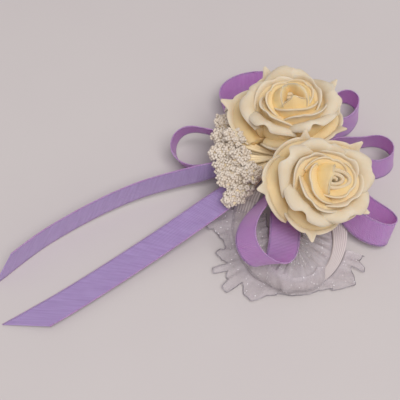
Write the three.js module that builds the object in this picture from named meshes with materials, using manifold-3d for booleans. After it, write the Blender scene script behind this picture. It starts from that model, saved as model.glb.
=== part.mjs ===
// A wrist corsage: two foam roses, a bead-sprig spray and a satin bow on an elastic wristlet with ruffles.
// Millimetres, +Z up through the flowers, +X to the right, the ribbon tails lead to -X.
// The origin is the centre of the cover disc's underside, the flat face that lies on the wrist.
import * as THREE from "three";
import { mergeVertices } from "three/addons/utils/BufferGeometryUtils.js";
import Module from "manifold-3d";

const wasm = await Module();
wasm.setup();

// Driving dimensions.
const GAP = 0.3;
const TABLE_DROP = 9.5;
const COVER_RADIUS = 10.5;
const COVER_THICKNESS = 1.2;
const ELASTIC_WIDTH = 8;
const ELASTIC_THICKNESS = 0.9;
const PAD_RADIUS = 11.4;
const PAD_THICKNESS = 1.4;
const KNOT_RADIUS = 6;
const KNOT_HEIGHT = 6;
const ROSE_LIFT = 5.9;
const RIBBON_WIDTH = 12;
const RIBBON_THICKNESS = 0.5;
const ROSE_DIAMETER = 48;
const BOW_REACH = 60;
const TAIL_REACH = 121.4;
const FOAM_THICKNESS = 1;
const STEM_RADIUS = 0.8;
const LOOP_HALF_WIDTH = 20;
const LOOP_HALF_DEPTH = 27;
const LOOP_FRONT_HEIGHT = 5.7;
const LOOP_FRONT_TWIST = 100;
const HINGE_BACK = 7;
const LOOP_DOWN = 72;
const FRONT_SECTION_START = 130;
const FULL_TURN = 360;
const RUFFLE_WIDTH = 12;
const RUFFLE_INNER_WIDTH = 5;
const RUFFLE_THICKNESS = 0.35;
const RUFFLE_WAVE = 7;
const RUFFLE_DEPTH = 2.6;
const RUFFLE_EDGE_HEIGHT = 0.8;
const RUFFLE_TUCK = 0.4;
const SEAM_GAP = 1.4;
const RUFFLE_TUCK_TURN = 165;
const RUFFLE_DIP_START = 140;
const RUFFLE_DIP_END = 190;
const SPRIG_STEM_RADIUS = 0.5;
const SPRIG_HEAD_LENGTH = 11;
const SPRIG_HEAD_RADIUS = 2.2;
const BEAD_RADIUS = 1.2;
const COLLAR_RADIUS = 2.6;
const COLLAR_LENGTH = 7;
const BEADS = 5;

// Levels that follow from the stack of glued pieces.
const ELASTIC_MIDDLE = COVER_THICKNESS + GAP + ELASTIC_THICKNESS / 2;
const PAD_BOTTOM = ELASTIC_MIDDLE + ELASTIC_THICKNESS / 2 + GAP;
const PAD_TOP = PAD_BOTTOM + PAD_THICKNESS;
const KNOT_BOTTOM = PAD_TOP + GAP;
const KNOT_MIDDLE = KNOT_BOTTOM + KNOT_HEIGHT / 2;
const KNOT_TOP = KNOT_BOTTOM + KNOT_HEIGHT;
const ROSE_BASE = KNOT_TOP + ROSE_LIFT;

const FOAM = { color: 0xf4ead3, roughness: 0.85, metalness: 0 };
const FOAM_WARM = { color: 0xf1e3bf, roughness: 0.85, metalness: 0 };
const SATIN = { color: 0xb59fd8, roughness: 0.38, metalness: 0 };
const ORGANZA = { color: 0xebe6f0, roughness: 0.5, metalness: 0 };
const ELASTIC = { color: 0xf3f1f5, roughness: 0.8, metalness: 0 };
const FELT = { color: 0xefe8e0, roughness: 0.95, metalness: 0 };
const PIPS = { color: 0xf6f1e4, roughness: 0.55, metalness: 0 };
const TAPE = { color: 0xe6e2c6, roughness: 0.7, metalness: 0 };
const WIRE = { color: 0xd9d6c8, roughness: 0.5, metalness: 0.3 };

const part = new THREE.Group();
part.name = "wrist_corsage";

const rad = THREE.MathUtils.degToRad;
const smooth = (lo, hi, x) => THREE.MathUtils.smoothstep(x, lo, hi);
const lerp = THREE.MathUtils.lerp;
const vec = (x, y, z) => new THREE.Vector3(x, y, z);
const UP = vec(0, 0, 1);

function addPiece(name, geometry, look) {
  const piece = new THREE.Mesh(geometry, new THREE.MeshStandardMaterial(look));
  piece.name = name;
  part.add(piece);
}

function signedVolume(points, faces) {
  const cross = new THREE.Vector3();
  let volume = 0;
  for (const [a, b, c] of faces) {
    volume += points[a].dot(cross.crossVectors(points[b], points[c])) / 6;
  }
  return volume;
}

// A closed solid from points and triangles, turned outwards when it was wound inwards.
function solid(points, faces) {
  const flip = signedVolume(points, faces) < 0;
  const geometry = new THREE.BufferGeometry();
  const numbers = points.flatMap((p) => p.toArray());
  geometry.setAttribute("position", new THREE.Float32BufferAttribute(numbers, 3));
  geometry.setIndex(faces.flatMap(([a, b, c]) => (flip ? [a, c, b] : [a, b, c])));
  return geometry;
}

// A sheet of even thickness on the surface(u, v), u and v from 0 to 1.
function sheet(surface, stepsU, stepsV, thickness) {
  const small = 1e-3;
  const sides = [[], []];
  for (let i = 0; i <= stepsU; i += 1) {
    for (let j = 0; j <= stepsV; j += 1) {
      const u = i / stepsU;
      const v = j / stepsV;
      const uLow = Math.max(u - small, 0);
      const uHigh = Math.min(u + small, 1);
      const vLow = Math.max(v - small, 0);
      const vHigh = Math.min(v + small, 1);
      const alongU = surface(uHigh, v).sub(surface(uLow, v));
      const alongV = surface(u, vHigh).sub(surface(u, vLow));
      const normal = alongU.cross(alongV).normalize();
      const middle = surface(u, v);
      sides[0].push(middle.clone().addScaledVector(normal, thickness / 2));
      sides[1].push(middle.clone().addScaledVector(normal, -thickness / 2));
    }
  }
  const count = sides[0].length;
  const at = (side, i, j) => side * count + i * (stepsV + 1) + j;
  const faces = [];
  const quad = (a, b, c, d) => faces.push([a, b, c], [a, c, d]);
  for (let i = 0; i < stepsU; i += 1) {
    for (let j = 0; j < stepsV; j += 1) {
      quad(at(0, i, j), at(0, i + 1, j), at(0, i + 1, j + 1), at(0, i, j + 1));
      quad(at(1, i, j), at(1, i, j + 1), at(1, i + 1, j + 1), at(1, i + 1, j));
    }
  }
  for (let i = 0; i < stepsU; i += 1) {
    quad(at(1, i, 0), at(1, i + 1, 0), at(0, i + 1, 0), at(0, i, 0));
    quad(at(0, i, stepsV), at(0, i + 1, stepsV), at(1, i + 1, stepsV), at(1, i, stepsV));
  }
  for (let j = 0; j < stepsV; j += 1) {
    quad(at(0, 0, j), at(0, 0, j + 1), at(1, 0, j + 1), at(1, 0, j));
    quad(at(1, stepsU, j), at(1, stepsU, j + 1), at(0, stepsU, j + 1), at(0, stepsU, j));
  }
  return solid([...sides[0], ...sides[1]], faces);
}

function toManifold(geometry) {
  const bare = geometry.clone();
  bare.deleteAttribute("normal");
  bare.deleteAttribute("uv");
  const merged = mergeVertices(bare, 1e-4);
  return new wasm.Manifold(new wasm.Mesh({
    numProp: 3,
    vertProperties: new Float32Array(merged.attributes.position.array),
    triVerts: new Uint32Array(merged.index.array),
  }));
}

function fromManifold(body) {
  const data = body.getMesh();
  const numbers = new Float32Array(data.vertProperties);
  const geometry = new THREE.BufferGeometry();
  geometry.setAttribute("position", new THREE.BufferAttribute(numbers, 3));
  geometry.setIndex(new THREE.BufferAttribute(new Uint32Array(data.triVerts), 1));
  return geometry;
}

// One body out of several; a pocket sealed in between them is filled.
function joined(geometries) {
  const whole = geometries.map(toManifold).reduce((sum, next) => sum.add(next));
  const shells = whole.decompose().filter((shell) => shell.volume() > 0);
  return fromManifold(shells.reduce((sum, next) => sum.add(next)));
}

function lathe(profile, segments) {
  const outline = profile.map(([r, z]) => new THREE.Vector2(r, z));
  return new THREE.LatheGeometry(outline, segments).rotateX(Math.PI / 2);
}

// A round rod along a smooth curve through the points.
function rod(points, radius) {
  const circle = new THREE.Shape().absarc(0, 0, radius, 0, 2 * Math.PI);
  const extrudePath = new THREE.CatmullRomCurve3(points);
  const options = { steps: 8, curveSegments: 4, bevelEnabled: false, extrudePath };
  return new THREE.ExtrudeGeometry(circle, options);
}

function disc(radius, bottom, thickness, segments) {
  const geometry = new THREE.CylinderGeometry(radius, radius, thickness, segments);
  return geometry.rotateX(Math.PI / 2).translate(0, 0, bottom + thickness / 2);
}

// The backing: a cover disc on the wrist side, and a felt pad above the elastic that carries the flowers.
addPiece("cover_disc", disc(COVER_RADIUS, 0, COVER_THICKNESS, 40), FELT);
addPiece("felt_pad", disc(PAD_RADIUS, PAD_BOTTOM, PAD_THICKNESS, 48), FELT);

// The elastic runs once round an ellipse. Turn 0 is under the pad, 90 is the right side, 180 is the front.
const HINGE_TURN = THREE.MathUtils.radToDeg(Math.acos(1 - HINGE_BACK / LOOP_HALF_DEPTH));

function bandFrame(turn) {
  const angle = rad(turn);
  const fromPad = Math.min(turn, FULL_TURN - turn);
  const away = smooth(HINGE_TURN, FULL_TURN / 2, fromPad);
  const down = smooth(HINGE_TURN, LOOP_DOWN, fromPad);
  const level = lerp(ELASTIC_MIDDLE, LOOP_FRONT_HEIGHT - TABLE_DROP, down);
  const place = vec(LOOP_HALF_WIDTH * Math.sin(angle), LOOP_HALF_DEPTH * (Math.cos(angle) - 1), level);
  const out = vec(Math.sin(angle) / LOOP_HALF_WIDTH, Math.cos(angle) / LOOP_HALF_DEPTH, 0).normalize();
  const twist = rad(LOOP_FRONT_TWIST) * away;
  const across = out.clone().multiplyScalar(Math.cos(twist)).addScaledVector(UP, -Math.sin(twist));
  return { place, out, across, away };
}

function bandSection(from, to, steps) {
  const surface = (u, v) => {
    const { place, across } = bandFrame(lerp(from, to, u));
    return place.addScaledVector(across, ELASTIC_WIDTH * (v - 0.5));
  };
  return sheet(surface, steps, 1, ELASTIC_THICKNESS);
}

// A cut between two sections leaves room for the hinge to turn.
const CUT_GAP = 0.6;
const TURN_GAP = THREE.MathUtils.radToDeg(CUT_GAP / LOOP_HALF_WIDTH);
const FRONT_SECTION_END = FULL_TURN - FRONT_SECTION_START;
addPiece("band_glued_section", bandSection(TURN_GAP - HINGE_TURN, HINGE_TURN - TURN_GAP, 20), ELASTIC);
addPiece("band_side_right", bandSection(HINGE_TURN, FRONT_SECTION_START - TURN_GAP, 12), ELASTIC);
addPiece("band_side_left", bandSection(FRONT_SECTION_END + TURN_GAP, FULL_TURN - HINGE_TURN, 12), ELASTIC);
addPiece("band_front", bandSection(FRONT_SECTION_START, FRONT_SECTION_END, 20), ELASTIC);

// The organza ruffle is gathered along the elastic's two edges and opens into waves.
// The outer edge aims at the table; the inner one stands off the elastic and dips towards the front.
function outerRuffle(turn, seamHeight) {
  const tucked = lerp(RUFFLE_TUCK, 1, Math.sin(rad(turn - RUFFLE_TUCK_TURN)) ** 2);
  const width = RUFFLE_WIDTH * tucked;
  const fall = Math.max(seamHeight - RUFFLE_EDGE_HEIGHT, -0.1 * width) / width;
  return { width, rise: -Math.asin(Math.min(fall, 0.9)) };
}

function innerRuffle(turn, away) {
  const dip = lerp(-30, -42, away);
  const dipped = smooth(RUFFLE_DIP_START, RUFFLE_DIP_END, turn);
  return { width: RUFFLE_INNER_WIDTH, rise: rad(lerp(8, dip, dipped)) };
}

function ruffleSection(from, to, side) {
  const arc = (LOOP_HALF_WIDTH + LOOP_HALF_DEPTH) / 2 * rad(to - from);
  const waves = Math.round(arc / RUFFLE_WAVE);
  const surface = (u, v) => {
    const turn = lerp(from, to, u);
    const { place, out, across, away } = bandFrame(turn);
    place.addScaledVector(across, side * (ELASTIC_WIDTH / 2 + SEAM_GAP));
    const outer = side > 0;
    const { width, rise } = outer ? outerRuffle(turn, place.z + TABLE_DROP) : innerRuffle(turn, away);
    const open = out.clone().multiplyScalar(side * Math.cos(rise)).addScaledVector(UP, Math.sin(rise));
    const along = new THREE.Vector3().crossVectors(out, UP);
    const lift = new THREE.Vector3().crossVectors(along, open).normalize();
    lift.multiplyScalar(Math.sign(lift.z));
    const wave = 2 * Math.PI * waves * u;
    const swing = outer ? 0.5 - 0.5 * Math.cos(wave) : 0.3 * Math.sin(wave);
    place.addScaledVector(open, width * v);
    return place.addScaledVector(lift, RUFFLE_DEPTH * v * swing);
  };
  return sheet(surface, waves * 4, 2, RUFFLE_THICKNESS);
}

const RUFFLE_RIGHT_START = 106;
const RUFFLE_INNER_START = 76;
const RUFFLE_LEFT_END = 284;
const RUFFLE_GAP = 1.5;
const beforeFront = FRONT_SECTION_START - RUFFLE_GAP;
const afterFront = FRONT_SECTION_END + RUFFLE_GAP;
addPiece("ruffle_outer_right", ruffleSection(RUFFLE_RIGHT_START, beforeFront, 1), ORGANZA);
addPiece("ruffle_outer_front", ruffleSection(FRONT_SECTION_START, FRONT_SECTION_END, 1), ORGANZA);
addPiece("ruffle_outer_left", ruffleSection(afterFront, RUFFLE_LEFT_END, 1), ORGANZA);
addPiece("ruffle_inner_right", ruffleSection(RUFFLE_INNER_START, beforeFront, -1), ORGANZA);
addPiece("ruffle_inner_front", ruffleSection(FRONT_SECTION_START, FRONT_SECTION_END, -1), ORGANZA);
addPiece("ruffle_inner_left", ruffleSection(afterFront, RUFFLE_LEFT_END, -1), ORGANZA);

// The bow: six loops and two tails of one ribbon, gathered at a bound knot.
const knotProfile = [
  [0, KNOT_BOTTOM],
  [KNOT_RADIUS * 0.85, KNOT_BOTTOM],
  [KNOT_RADIUS, KNOT_BOTTOM + KNOT_HEIGHT * 0.2],
  [KNOT_RADIUS * 0.94, KNOT_MIDDLE],
  [KNOT_RADIUS, KNOT_TOP - KNOT_HEIGHT * 0.2],
  [KNOT_RADIUS * 0.85, KNOT_TOP],
  [0, KNOT_TOP],
];
addPiece("bow_knot", lathe(knotProfile, 28), SATIN);

const ROOT_RADIUS = KNOT_RADIUS + GAP;
const ROOT_WIDTH = 0.38;
const ROOT_SPREAD = 0.9;
const LOOP_PEAK = 0.77;

// One loop is half of a figure eight, pinched where it meets the knot; its reach is a share of the bow's.
function bowLoop({ azimuth, reach, opening, roll, lean, height, sag = 0, twist = 0 }) {
  const outward = vec(Math.cos(rad(azimuth)), Math.sin(rad(azimuth)), 0);
  const aside = vec(-outward.y, outward.x, 0);
  const spread = UP.clone().multiplyScalar(Math.cos(rad(roll))).addScaledVector(aside, Math.sin(rad(roll)));
  const wide = new THREE.Vector3().crossVectors(outward, spread);
  const start = Math.sqrt(ROOT_SPREAD * LOOP_PEAK / opening / 2);
  const path = (u) => {
    const turn = lerp(start, Math.PI - start, u);
    const share = Math.max(0, (Math.sin(turn) - Math.sin(start)) / (1 - Math.sin(start)));
    const drop = lerp(KNOT_MIDDLE, height - TABLE_DROP, smooth(0.24, 0.8, share));
    const level = drop - sag * Math.sin(Math.PI * share) ** 2;
    const place = outward.clone().multiplyScalar(lerp(ROOT_RADIUS, reach * BOW_REACH, share));
    place.addScaledVector(spread, opening / LOOP_PEAK * Math.sin(2 * turn) * Math.sin(turn));
    place.z += level;
    return { place, share, turn };
  };
  const surface = (u, v) => {
    const { place, share, turn } = path(u);
    const ahead = path(Math.min(u + 1e-3, 1)).place.sub(path(Math.max(u - 1e-3, 0)).place).normalize();
    const outside = new THREE.Vector3().crossVectors(wide, ahead).normalize();
    const returning = twist * smooth(Math.PI / 2, Math.PI * 0.8, turn);
    const tilt = rad(lean + returning) * smooth(0, 0.5, share);
    const across = wide.clone().multiplyScalar(Math.cos(tilt)).addScaledVector(outside, -Math.sin(tilt));
    const width = RIBBON_WIDTH * lerp(ROOT_WIDTH, 1, smooth(0.12, 0.42, share));
    return place.addScaledVector(across, width * (v - 0.5));
  };
  return sheet(surface, 26, 1, RIBBON_THICKNESS);
}

const LOOPS = {
  upper_left: { azimuth: 107, reach: 0.95, opening: 14.5, roll: 90, lean: -12, height: 6 },
  left: { azimuth: 162, reach: 0.867, opening: 8.5, roll: 118, lean: 0, height: 9.5 },
  upper_right: { azimuth: 54, reach: 0.92, opening: 7, roll: 85, lean: 10, height: 6.7 },
  right: { azimuth: 16.5, reach: 0.817, opening: 7.5, roll: 85, lean: 10, height: 6.7 },
  lower_right: { azimuth: -37, reach: 0.85, opening: 6.3, roll: 110, lean: 0, height: 8.4, sag: 0.4 },
  lower_centre: { azimuth: -107, reach: 0.88, opening: 9.5, roll: -52, lean: 0, height: 20, sag: 0.3, twist: 55 },
};
for (const [place, loop] of Object.entries(LOOPS)) {
  addPiece(`bow_loop_${place}`, bowLoop(loop), SATIN);
}

// A tail follows a curve from the knot to the table, leaning on one edge, and ends in a slanting cut.
// Its points are shares of the tails' reach sideways and forwards, and a height above the table.
function tailSheet({ root, points, tilt, slant }, from, to, steps) {
  const spots = points.map(([x, y, height]) => vec(x * TAIL_REACH, y * TAIL_REACH, height - TABLE_DROP));
  const curve = new THREE.CatmullRomCurve3([vec(root[0], root[1], KNOT_MIDDLE), ...spots]);
  const length = curve.getLength();
  const surface = (u, v) => {
    const cut = to === 1 ? Math.abs(slant) / length * (0.5 - Math.sign(slant) * (v - 0.5)) : 0;
    const along = lerp(from, to - cut, u);
    const place = curve.getPointAt(along);
    const ahead = curve.getTangentAt(along);
    const level = new THREE.Vector3().crossVectors(ahead, UP).normalize();
    const raise = new THREE.Vector3().crossVectors(level, ahead);
    const lean = rad(lerp(90, tilt, smooth(0, 0.25, along)));
    const across = level.multiplyScalar(Math.cos(lean)).addScaledVector(raise, Math.sin(lean));
    const width = RIBBON_WIDTH * lerp(ROOT_WIDTH, 1, smooth(0.06, 0.26, along));
    return place.addScaledVector(across, width * (v - 0.5));
  };
  return sheet(surface, steps, 1, RIBBON_THICKNESS);
}

const TAILS = {
  upper: {
    root: [-ROOT_RADIUS - GAP, -0.6],
    points: [
      [-0.1565, 0.0016, 15.2],
      [-0.2965, -0.0154, 12],
      [-0.556, -0.0913, 9.2],
      [-0.8229, -0.2499, 6.9],
      [-1, -0.4168, 6.4],
    ],
    tilt: 92,
    slant: -11,
  },
  lower: {
    root: [-ROOT_RADIUS * 0.92 - GAP, -2.9],
    points: [
      [-0.14, -0.0708, 15.2],
      [-0.2636, -0.145, 10],
      [-0.4843, -0.2932, 3.8],
      [-0.7438, -0.4811, 1.8],
      [-0.9275, -0.6046, 1.4],
    ],
    tilt: -8,
    slant: 15,
  },
};
const TAIL_HINGE = 0.27;
const TAIL_CUT = 0.006;
for (const [place, tail] of Object.entries(TAILS)) {
  addPiece(`tail_${place}_root`, tailSheet(tail, 0, TAIL_HINGE - TAIL_CUT, 10), SATIN);
  addPiece(`tail_${place}_free`, tailSheet(tail, TAIL_HINGE, 1, 18), SATIN);
}

// A rose is a stack of die-cut foam layers threaded on a wire, each with a ring of overlapping petals.
const PETAL_OVERLAP = 0.02;
const PETAL_PRESS = 0.28;

// The profile is a petal's middle line, one cubic curve: radius and height as shares of the rose.
const LAYERS = {
  lowest: {
    count: 5, half: 45, corner: 0.24, point: 0.1,
    profile: [[0.034, -0.008], [0.38, -0.03], [0.41, 0.12], [0.48, 0.21]],
  },
  outer: {
    count: 5, half: 50, corner: 0.2, point: 0.06,
    profile: [[0.034, 0.038], [0.4, 0.028], [0.33, 0.28], [0.4, 0.37]],
  },
  middle: {
    count: 4, half: 62, corner: 0.16, point: 0,
    profile: [[0.034, 0.08], [0.324, 0.07], [0.244, 0.34], [0.308, 0.44]],
  },
  inner: {
    count: 3, half: 80, corner: 0.12, point: 0,
    profile: [[0.034, 0.126], [0.244, 0.12], [0.156, 0.34], [0.208, 0.48]],
  },
};

function cubic(a, b, c, d, t) {
  const s = 1 - t;
  return s * s * s * a + 3 * s * s * t * b + 3 * s * t * t * c + t * t * t * d;
}

function petal({ half, profile, corner, point }, facing, neighbour) {
  const radii = profile.map(([radius]) => radius);
  const heights = profile.map(([, height]) => height);
  const middle = (t) => new THREE.Vector2(cubic(...radii, t), cubic(...heights, t));
  const surface = (u, v) => {
    const side = 2 * u - 1;
    const peak = point * Math.max(0, 1 - Math.abs(side) * 3);
    const t = v * (1 - corner * Math.abs(side) ** 2.5) + peak * v ** 4;
    const here = middle(t);
    const ahead = middle(t + 1e-3).sub(middle(t - 1e-3)).normalize();
    const shift = PETAL_OVERLAP * side * lerp(0.25, 1, smooth(0, 0.45, v));
    const angle = rad(facing + half * side);
    const near = Math.max(0, Math.cos(angle - rad(neighbour))) ** 2;
    const pressed = 1 - PETAL_PRESS * near * smooth(0, 0.6, v);
    const radius = (here.x + ahead.y * shift) * pressed * ROSE_DIAMETER;
    const height = (here.y - ahead.x * shift) * ROSE_DIAMETER;
    return vec(radius * Math.cos(angle), radius * Math.sin(angle), height);
  };
  return sheet(surface, 4, 3, FOAM_THICKNESS);
}

function roseLayer(layer, phase, neighbour) {
  const petals = [];
  for (let k = 0; k < layer.count; k += 1) {
    petals.push(petal(layer, phase + 360 * k / layer.count, neighbour));
  }
  return joined(petals);
}

// The bud is a rolled strip; its sizes are shares of the rose too.
const BUD_TURNS = 2.3;
const BUD_INNER = 0.038;
const BUD_PITCH = 0.0276;
const BUD_BOTTOM = 0.176;
const BUD_TOP = 0.5;

function roseBud(phase) {
  const surface = (u, v) => {
    const angle = rad(phase) + 2 * Math.PI * BUD_TURNS * u;
    const flare = 0.004 * v ** 3;
    const radius = (BUD_INNER + BUD_PITCH * BUD_TURNS * u) * lerp(0.86, 1, v) + flare;
    const top = BUD_TOP - 0.044 * u + 0.01 * Math.sin(3 * angle);
    const place = vec(radius * Math.cos(angle), radius * Math.sin(angle), lerp(BUD_BOTTOM, top, v));
    return place.multiplyScalar(ROSE_DIAMETER);
  };
  return sheet(surface, 24, 2, FOAM_THICKNESS * 0.8);
}

// A rose leans by tilt towards the azimuth; its wire runs down its own axis to the felt pad.
function addRose(name, { x, y, tilt, azimuth, phase, neighbour, landing }) {
  const axis = vec(
    Math.sin(rad(tilt)) * Math.cos(rad(azimuth)),
    Math.sin(rad(tilt)) * Math.sin(rad(azimuth)),
    Math.cos(rad(tilt)),
  );
  const turn = new THREE.Quaternion().setFromUnitVectors(UP, axis);
  const place = new THREE.Matrix4().compose(vec(x, y, ROSE_BASE), turn, vec(1, 1, 1));
  const top = vec(x, y, ROSE_BASE).addScaledVector(axis, (BUD_BOTTOM - 0.05) * ROSE_DIAMETER);
  const below = vec(x, y, ROSE_BASE).addScaledVector(axis, -ROSE_LIFT * 0.6);
  const foot = vec(landing[0], landing[1], PAD_TOP + GAP + STEM_RADIUS * 0.3);
  const bent = foot.clone().addScaledVector(UP, ROSE_LIFT * 0.5);
  addPiece(`${name}_stem`, rod([top, below, bent, foot], STEM_RADIUS), WIRE);
  let step = 0;
  for (const [layerName, layer] of Object.entries(LAYERS)) {
    const geometry = roseLayer(layer, phase + 34 * step, neighbour).applyMatrix4(place);
    addPiece(`${name}_${layerName}_petals`, geometry, step > 2 ? FOAM_WARM : FOAM);
    step += 1;
  }
  addPiece(`${name}_bud`, roseBud(phase).applyMatrix4(place), FOAM_WARM);
}

const ROSES = {
  rose_front: { x: 6.4, y: -17.2, tilt: 34, azimuth: -62, phase: 20, neighbour: 90, landing: [3.6, -9.4] },
  rose_rear: { x: 1.4, y: 10.8, tilt: 4, azimuth: 180, phase: 48, neighbour: -90, landing: [3.4, 9.6] },
};
for (const [name, rose] of Object.entries(ROSES)) {
  addRose(name, rose);
}

// The spray: bead sprigs fan out from a taped collar that lies on the knot.
const COLLAR_LEVEL = KNOT_TOP + GAP + COLLAR_RADIUS;
const COLLAR_FACE = -6;
const COLLAR_ASIDE = -2.5;
const collar = new THREE.CylinderGeometry(COLLAR_RADIUS, COLLAR_RADIUS * 0.8, COLLAR_LENGTH, 20);
collar.rotateZ(Math.PI / 2).translate(COLLAR_FACE + COLLAR_LENGTH / 2, COLLAR_ASIDE, COLLAR_LEVEL);
addPiece("spray_collar", collar, TAPE);

const SPRIGS = [
  { azimuth: 126, length: 31, height: 22 },
  { azimuth: 140, length: 31, height: 22 },
  { azimuth: 154, length: 28, height: 22 },
  { azimuth: 172, length: 27, height: 22 },
  { azimuth: 187, length: 25, height: 21 },
  { azimuth: 201, length: 25, height: 20.5 },
  { azimuth: 217, length: 24, height: 19 },
  { azimuth: 132, length: 23, height: 25 },
  { azimuth: 157, length: 22, height: 27.5 },
  { azimuth: 187, length: 18, height: 27 },
  { azimuth: 214, length: 16, height: 24 },
];
const LOWER_TIER = 7;

// A sprig is a stem that swells outwards and carries a long head of beads.
function sprig({ azimuth, length, height }, index) {
  const aside = (172 - azimuth) / 50 * COLLAR_RADIUS * 0.95;
  const above = COLLAR_RADIUS * (index < LOWER_TIER ? -0.2 : 0.5);
  const ahead = COLLAR_FACE - GAP - SPRIG_STEM_RADIUS;
  const from = vec(ahead, COLLAR_ASIDE + aside, COLLAR_LEVEL + above);
  const end = from.clone();
  end.x += length * Math.cos(rad(azimuth));
  end.y += length * Math.sin(rad(azimuth));
  end.z = height - TABLE_DROP;
  const whole = from.distanceTo(end);
  const headStart = whole - SPRIG_HEAD_LENGTH;
  const stemLength = headStart + SPRIG_HEAD_LENGTH * 0.3;
  const turn = new THREE.Quaternion().setFromUnitVectors(UP, end.clone().sub(from).normalize());
  const place = new THREE.Matrix4().compose(from, turn, vec(1, 1, 1));
  const stem = new THREE.CylinderGeometry(SPRIG_STEM_RADIUS, SPRIG_STEM_RADIUS * 0.5, stemLength, 6);
  const coreRadius = SPRIG_HEAD_RADIUS * 0.75;
  const core = new THREE.SphereGeometry(coreRadius, 6, 4);
  core.scale(1, SPRIG_HEAD_LENGTH / 2 / coreRadius, 1);
  core.translate(0, headStart + SPRIG_HEAD_LENGTH / 2, 0);
  const pieces = [stem.translate(0, stemLength / 2, 0), core];
  for (let k = 0; k < BEADS; k += 1) {
    const share = (k + 0.7) / (BEADS + 0.4);
    const ring = coreRadius * Math.sin(Math.PI * share);
    const bead = new THREE.OctahedronGeometry(BEAD_RADIUS * 1.2, 0);
    const angle = 2.4 * k + index;
    bead.translate(ring * Math.cos(angle), headStart + SPRIG_HEAD_LENGTH * share, ring * Math.sin(angle));
    pieces.push(bead);
  }
  return joined(pieces).rotateX(Math.PI / 2).applyMatrix4(place);
}

SPRIGS.forEach((entry, index) => {
  addPiece(`pip_sprig_${index + 1}`, sprig(entry, index), PIPS);
});

export default part;
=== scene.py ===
# %% [markdown]
# # A wrist corsage, dressed in numpy surfaces
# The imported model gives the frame: plain solids for every ribbon, petal and sprig, and the joints
# between them. This lesson hangs finer, softer pieces on that frame. Each one is a surface worked
# out as whole numpy arrays from the same sizes as its solid, so it lands where the solid is.
# Lengths are in millimetres and angles in degrees until a formula or a mesh needs others.

# %% Load the frame
from collections import namedtuple

import bpy
import numpy as np
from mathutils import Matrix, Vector


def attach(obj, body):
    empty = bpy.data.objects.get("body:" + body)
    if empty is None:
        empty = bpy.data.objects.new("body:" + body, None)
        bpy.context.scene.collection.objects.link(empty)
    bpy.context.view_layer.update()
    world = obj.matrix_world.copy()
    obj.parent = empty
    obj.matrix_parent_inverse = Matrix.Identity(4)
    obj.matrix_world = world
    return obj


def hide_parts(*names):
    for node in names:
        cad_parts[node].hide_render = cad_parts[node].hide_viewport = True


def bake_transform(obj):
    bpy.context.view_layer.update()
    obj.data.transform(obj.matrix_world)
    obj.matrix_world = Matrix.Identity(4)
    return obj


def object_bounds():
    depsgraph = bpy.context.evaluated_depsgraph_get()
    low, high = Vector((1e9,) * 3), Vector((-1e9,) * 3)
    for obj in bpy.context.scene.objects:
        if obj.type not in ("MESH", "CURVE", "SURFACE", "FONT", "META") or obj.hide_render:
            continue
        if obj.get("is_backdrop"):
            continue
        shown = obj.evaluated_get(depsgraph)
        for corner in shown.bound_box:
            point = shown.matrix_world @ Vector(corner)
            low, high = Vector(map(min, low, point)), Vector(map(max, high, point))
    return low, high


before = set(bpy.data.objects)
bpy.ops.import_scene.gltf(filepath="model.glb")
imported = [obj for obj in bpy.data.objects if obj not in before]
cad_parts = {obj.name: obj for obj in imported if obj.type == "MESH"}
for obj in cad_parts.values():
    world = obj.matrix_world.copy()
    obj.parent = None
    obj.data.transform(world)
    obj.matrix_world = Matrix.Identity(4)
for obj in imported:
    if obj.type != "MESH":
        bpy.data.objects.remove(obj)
cad_low, cad_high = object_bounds()
MM = 0.001

# %% [markdown]
# ## Camera, table and light
# The corsage was pictured on a pale table from about 55 degrees above it, from a little over a third
# of a metre away. The camera repeats that. One large soft lamp stands high on the near side, to the
# right, because the faces that are seen are lit; the pale surroundings fill the shadows in.

# %% Camera at the picture's angle
TABLE_DROP = 9.5
LOOK_AT = Vector((-38, -8, -TABLE_DROP)) * MM
CAMERA_PLACE = Vector((-38, -225.96, 301.78)) * MM
SENSOR_WIDTH = 36
LENS_LENGTH = 78.7
camera = bpy.data.objects.new("camera", bpy.data.cameras.new("camera"))
camera.location = CAMERA_PLACE
camera.rotation_euler = (LOOK_AT - CAMERA_PLACE).to_track_quat("-Z", "Y").to_euler()
camera.data.sensor_width = SENSOR_WIDTH
camera.data.lens = LENS_LENGTH
bpy.context.scene.collection.objects.link(camera)
bpy.context.scene.camera = camera
bpy.context.scene.view_settings.view_transform = "Standard"
print("camera stands", round((LOOK_AT - CAMERA_PLACE).length / MM), "mm away")

# %% Lamp and surroundings
LAMP_PLACE = Vector((0.5, -1.4, 2.9))
LAMP_POWER = 76.0
LAMP_SIZE = 2.0
ROOM_STRENGTH = 0.45


def colour(code):
    """A six-digit screen colour as the linear values that a shader takes, by the sRGB curve."""
    screen = np.array([int(code[k:k + 2], 16) for k in (0, 2, 4)]) / 255
    linear = np.where(screen <= 0.04045, screen / 12.92, ((screen + 0.055) / 1.055) ** 2.4)
    return (*linear.tolist(), 1.0)


lamp = bpy.data.objects.new("window", bpy.data.lights.new("window", "AREA"))
lamp.data.energy = LAMP_POWER
lamp.data.size = LAMP_SIZE
lamp.location = LAMP_PLACE
lamp.rotation_euler = (-LAMP_PLACE).to_track_quat("-Z", "Y").to_euler()
bpy.context.scene.collection.objects.link(lamp)
world = bpy.data.worlds.new("pale_room")
bpy.context.scene.world = world
world.use_nodes = True
room = world.node_tree.nodes["Background"]
room.inputs["Color"].default_value = colour("f4f0f6")
room.inputs["Strength"].default_value = ROOM_STRENGTH
print("one lamp and a pale room")

# %% [markdown]
# ## Tools for arrays
# A few formulas come back in every piece: a soft step, a straight mix, a unit vector, a distance
# along a path. They work on whole arrays, so a ribbon of ten thousand points costs one call.

# %% Soft steps, mixes and paths
UP = np.array([0.0, 0.0, 1.0])


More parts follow.
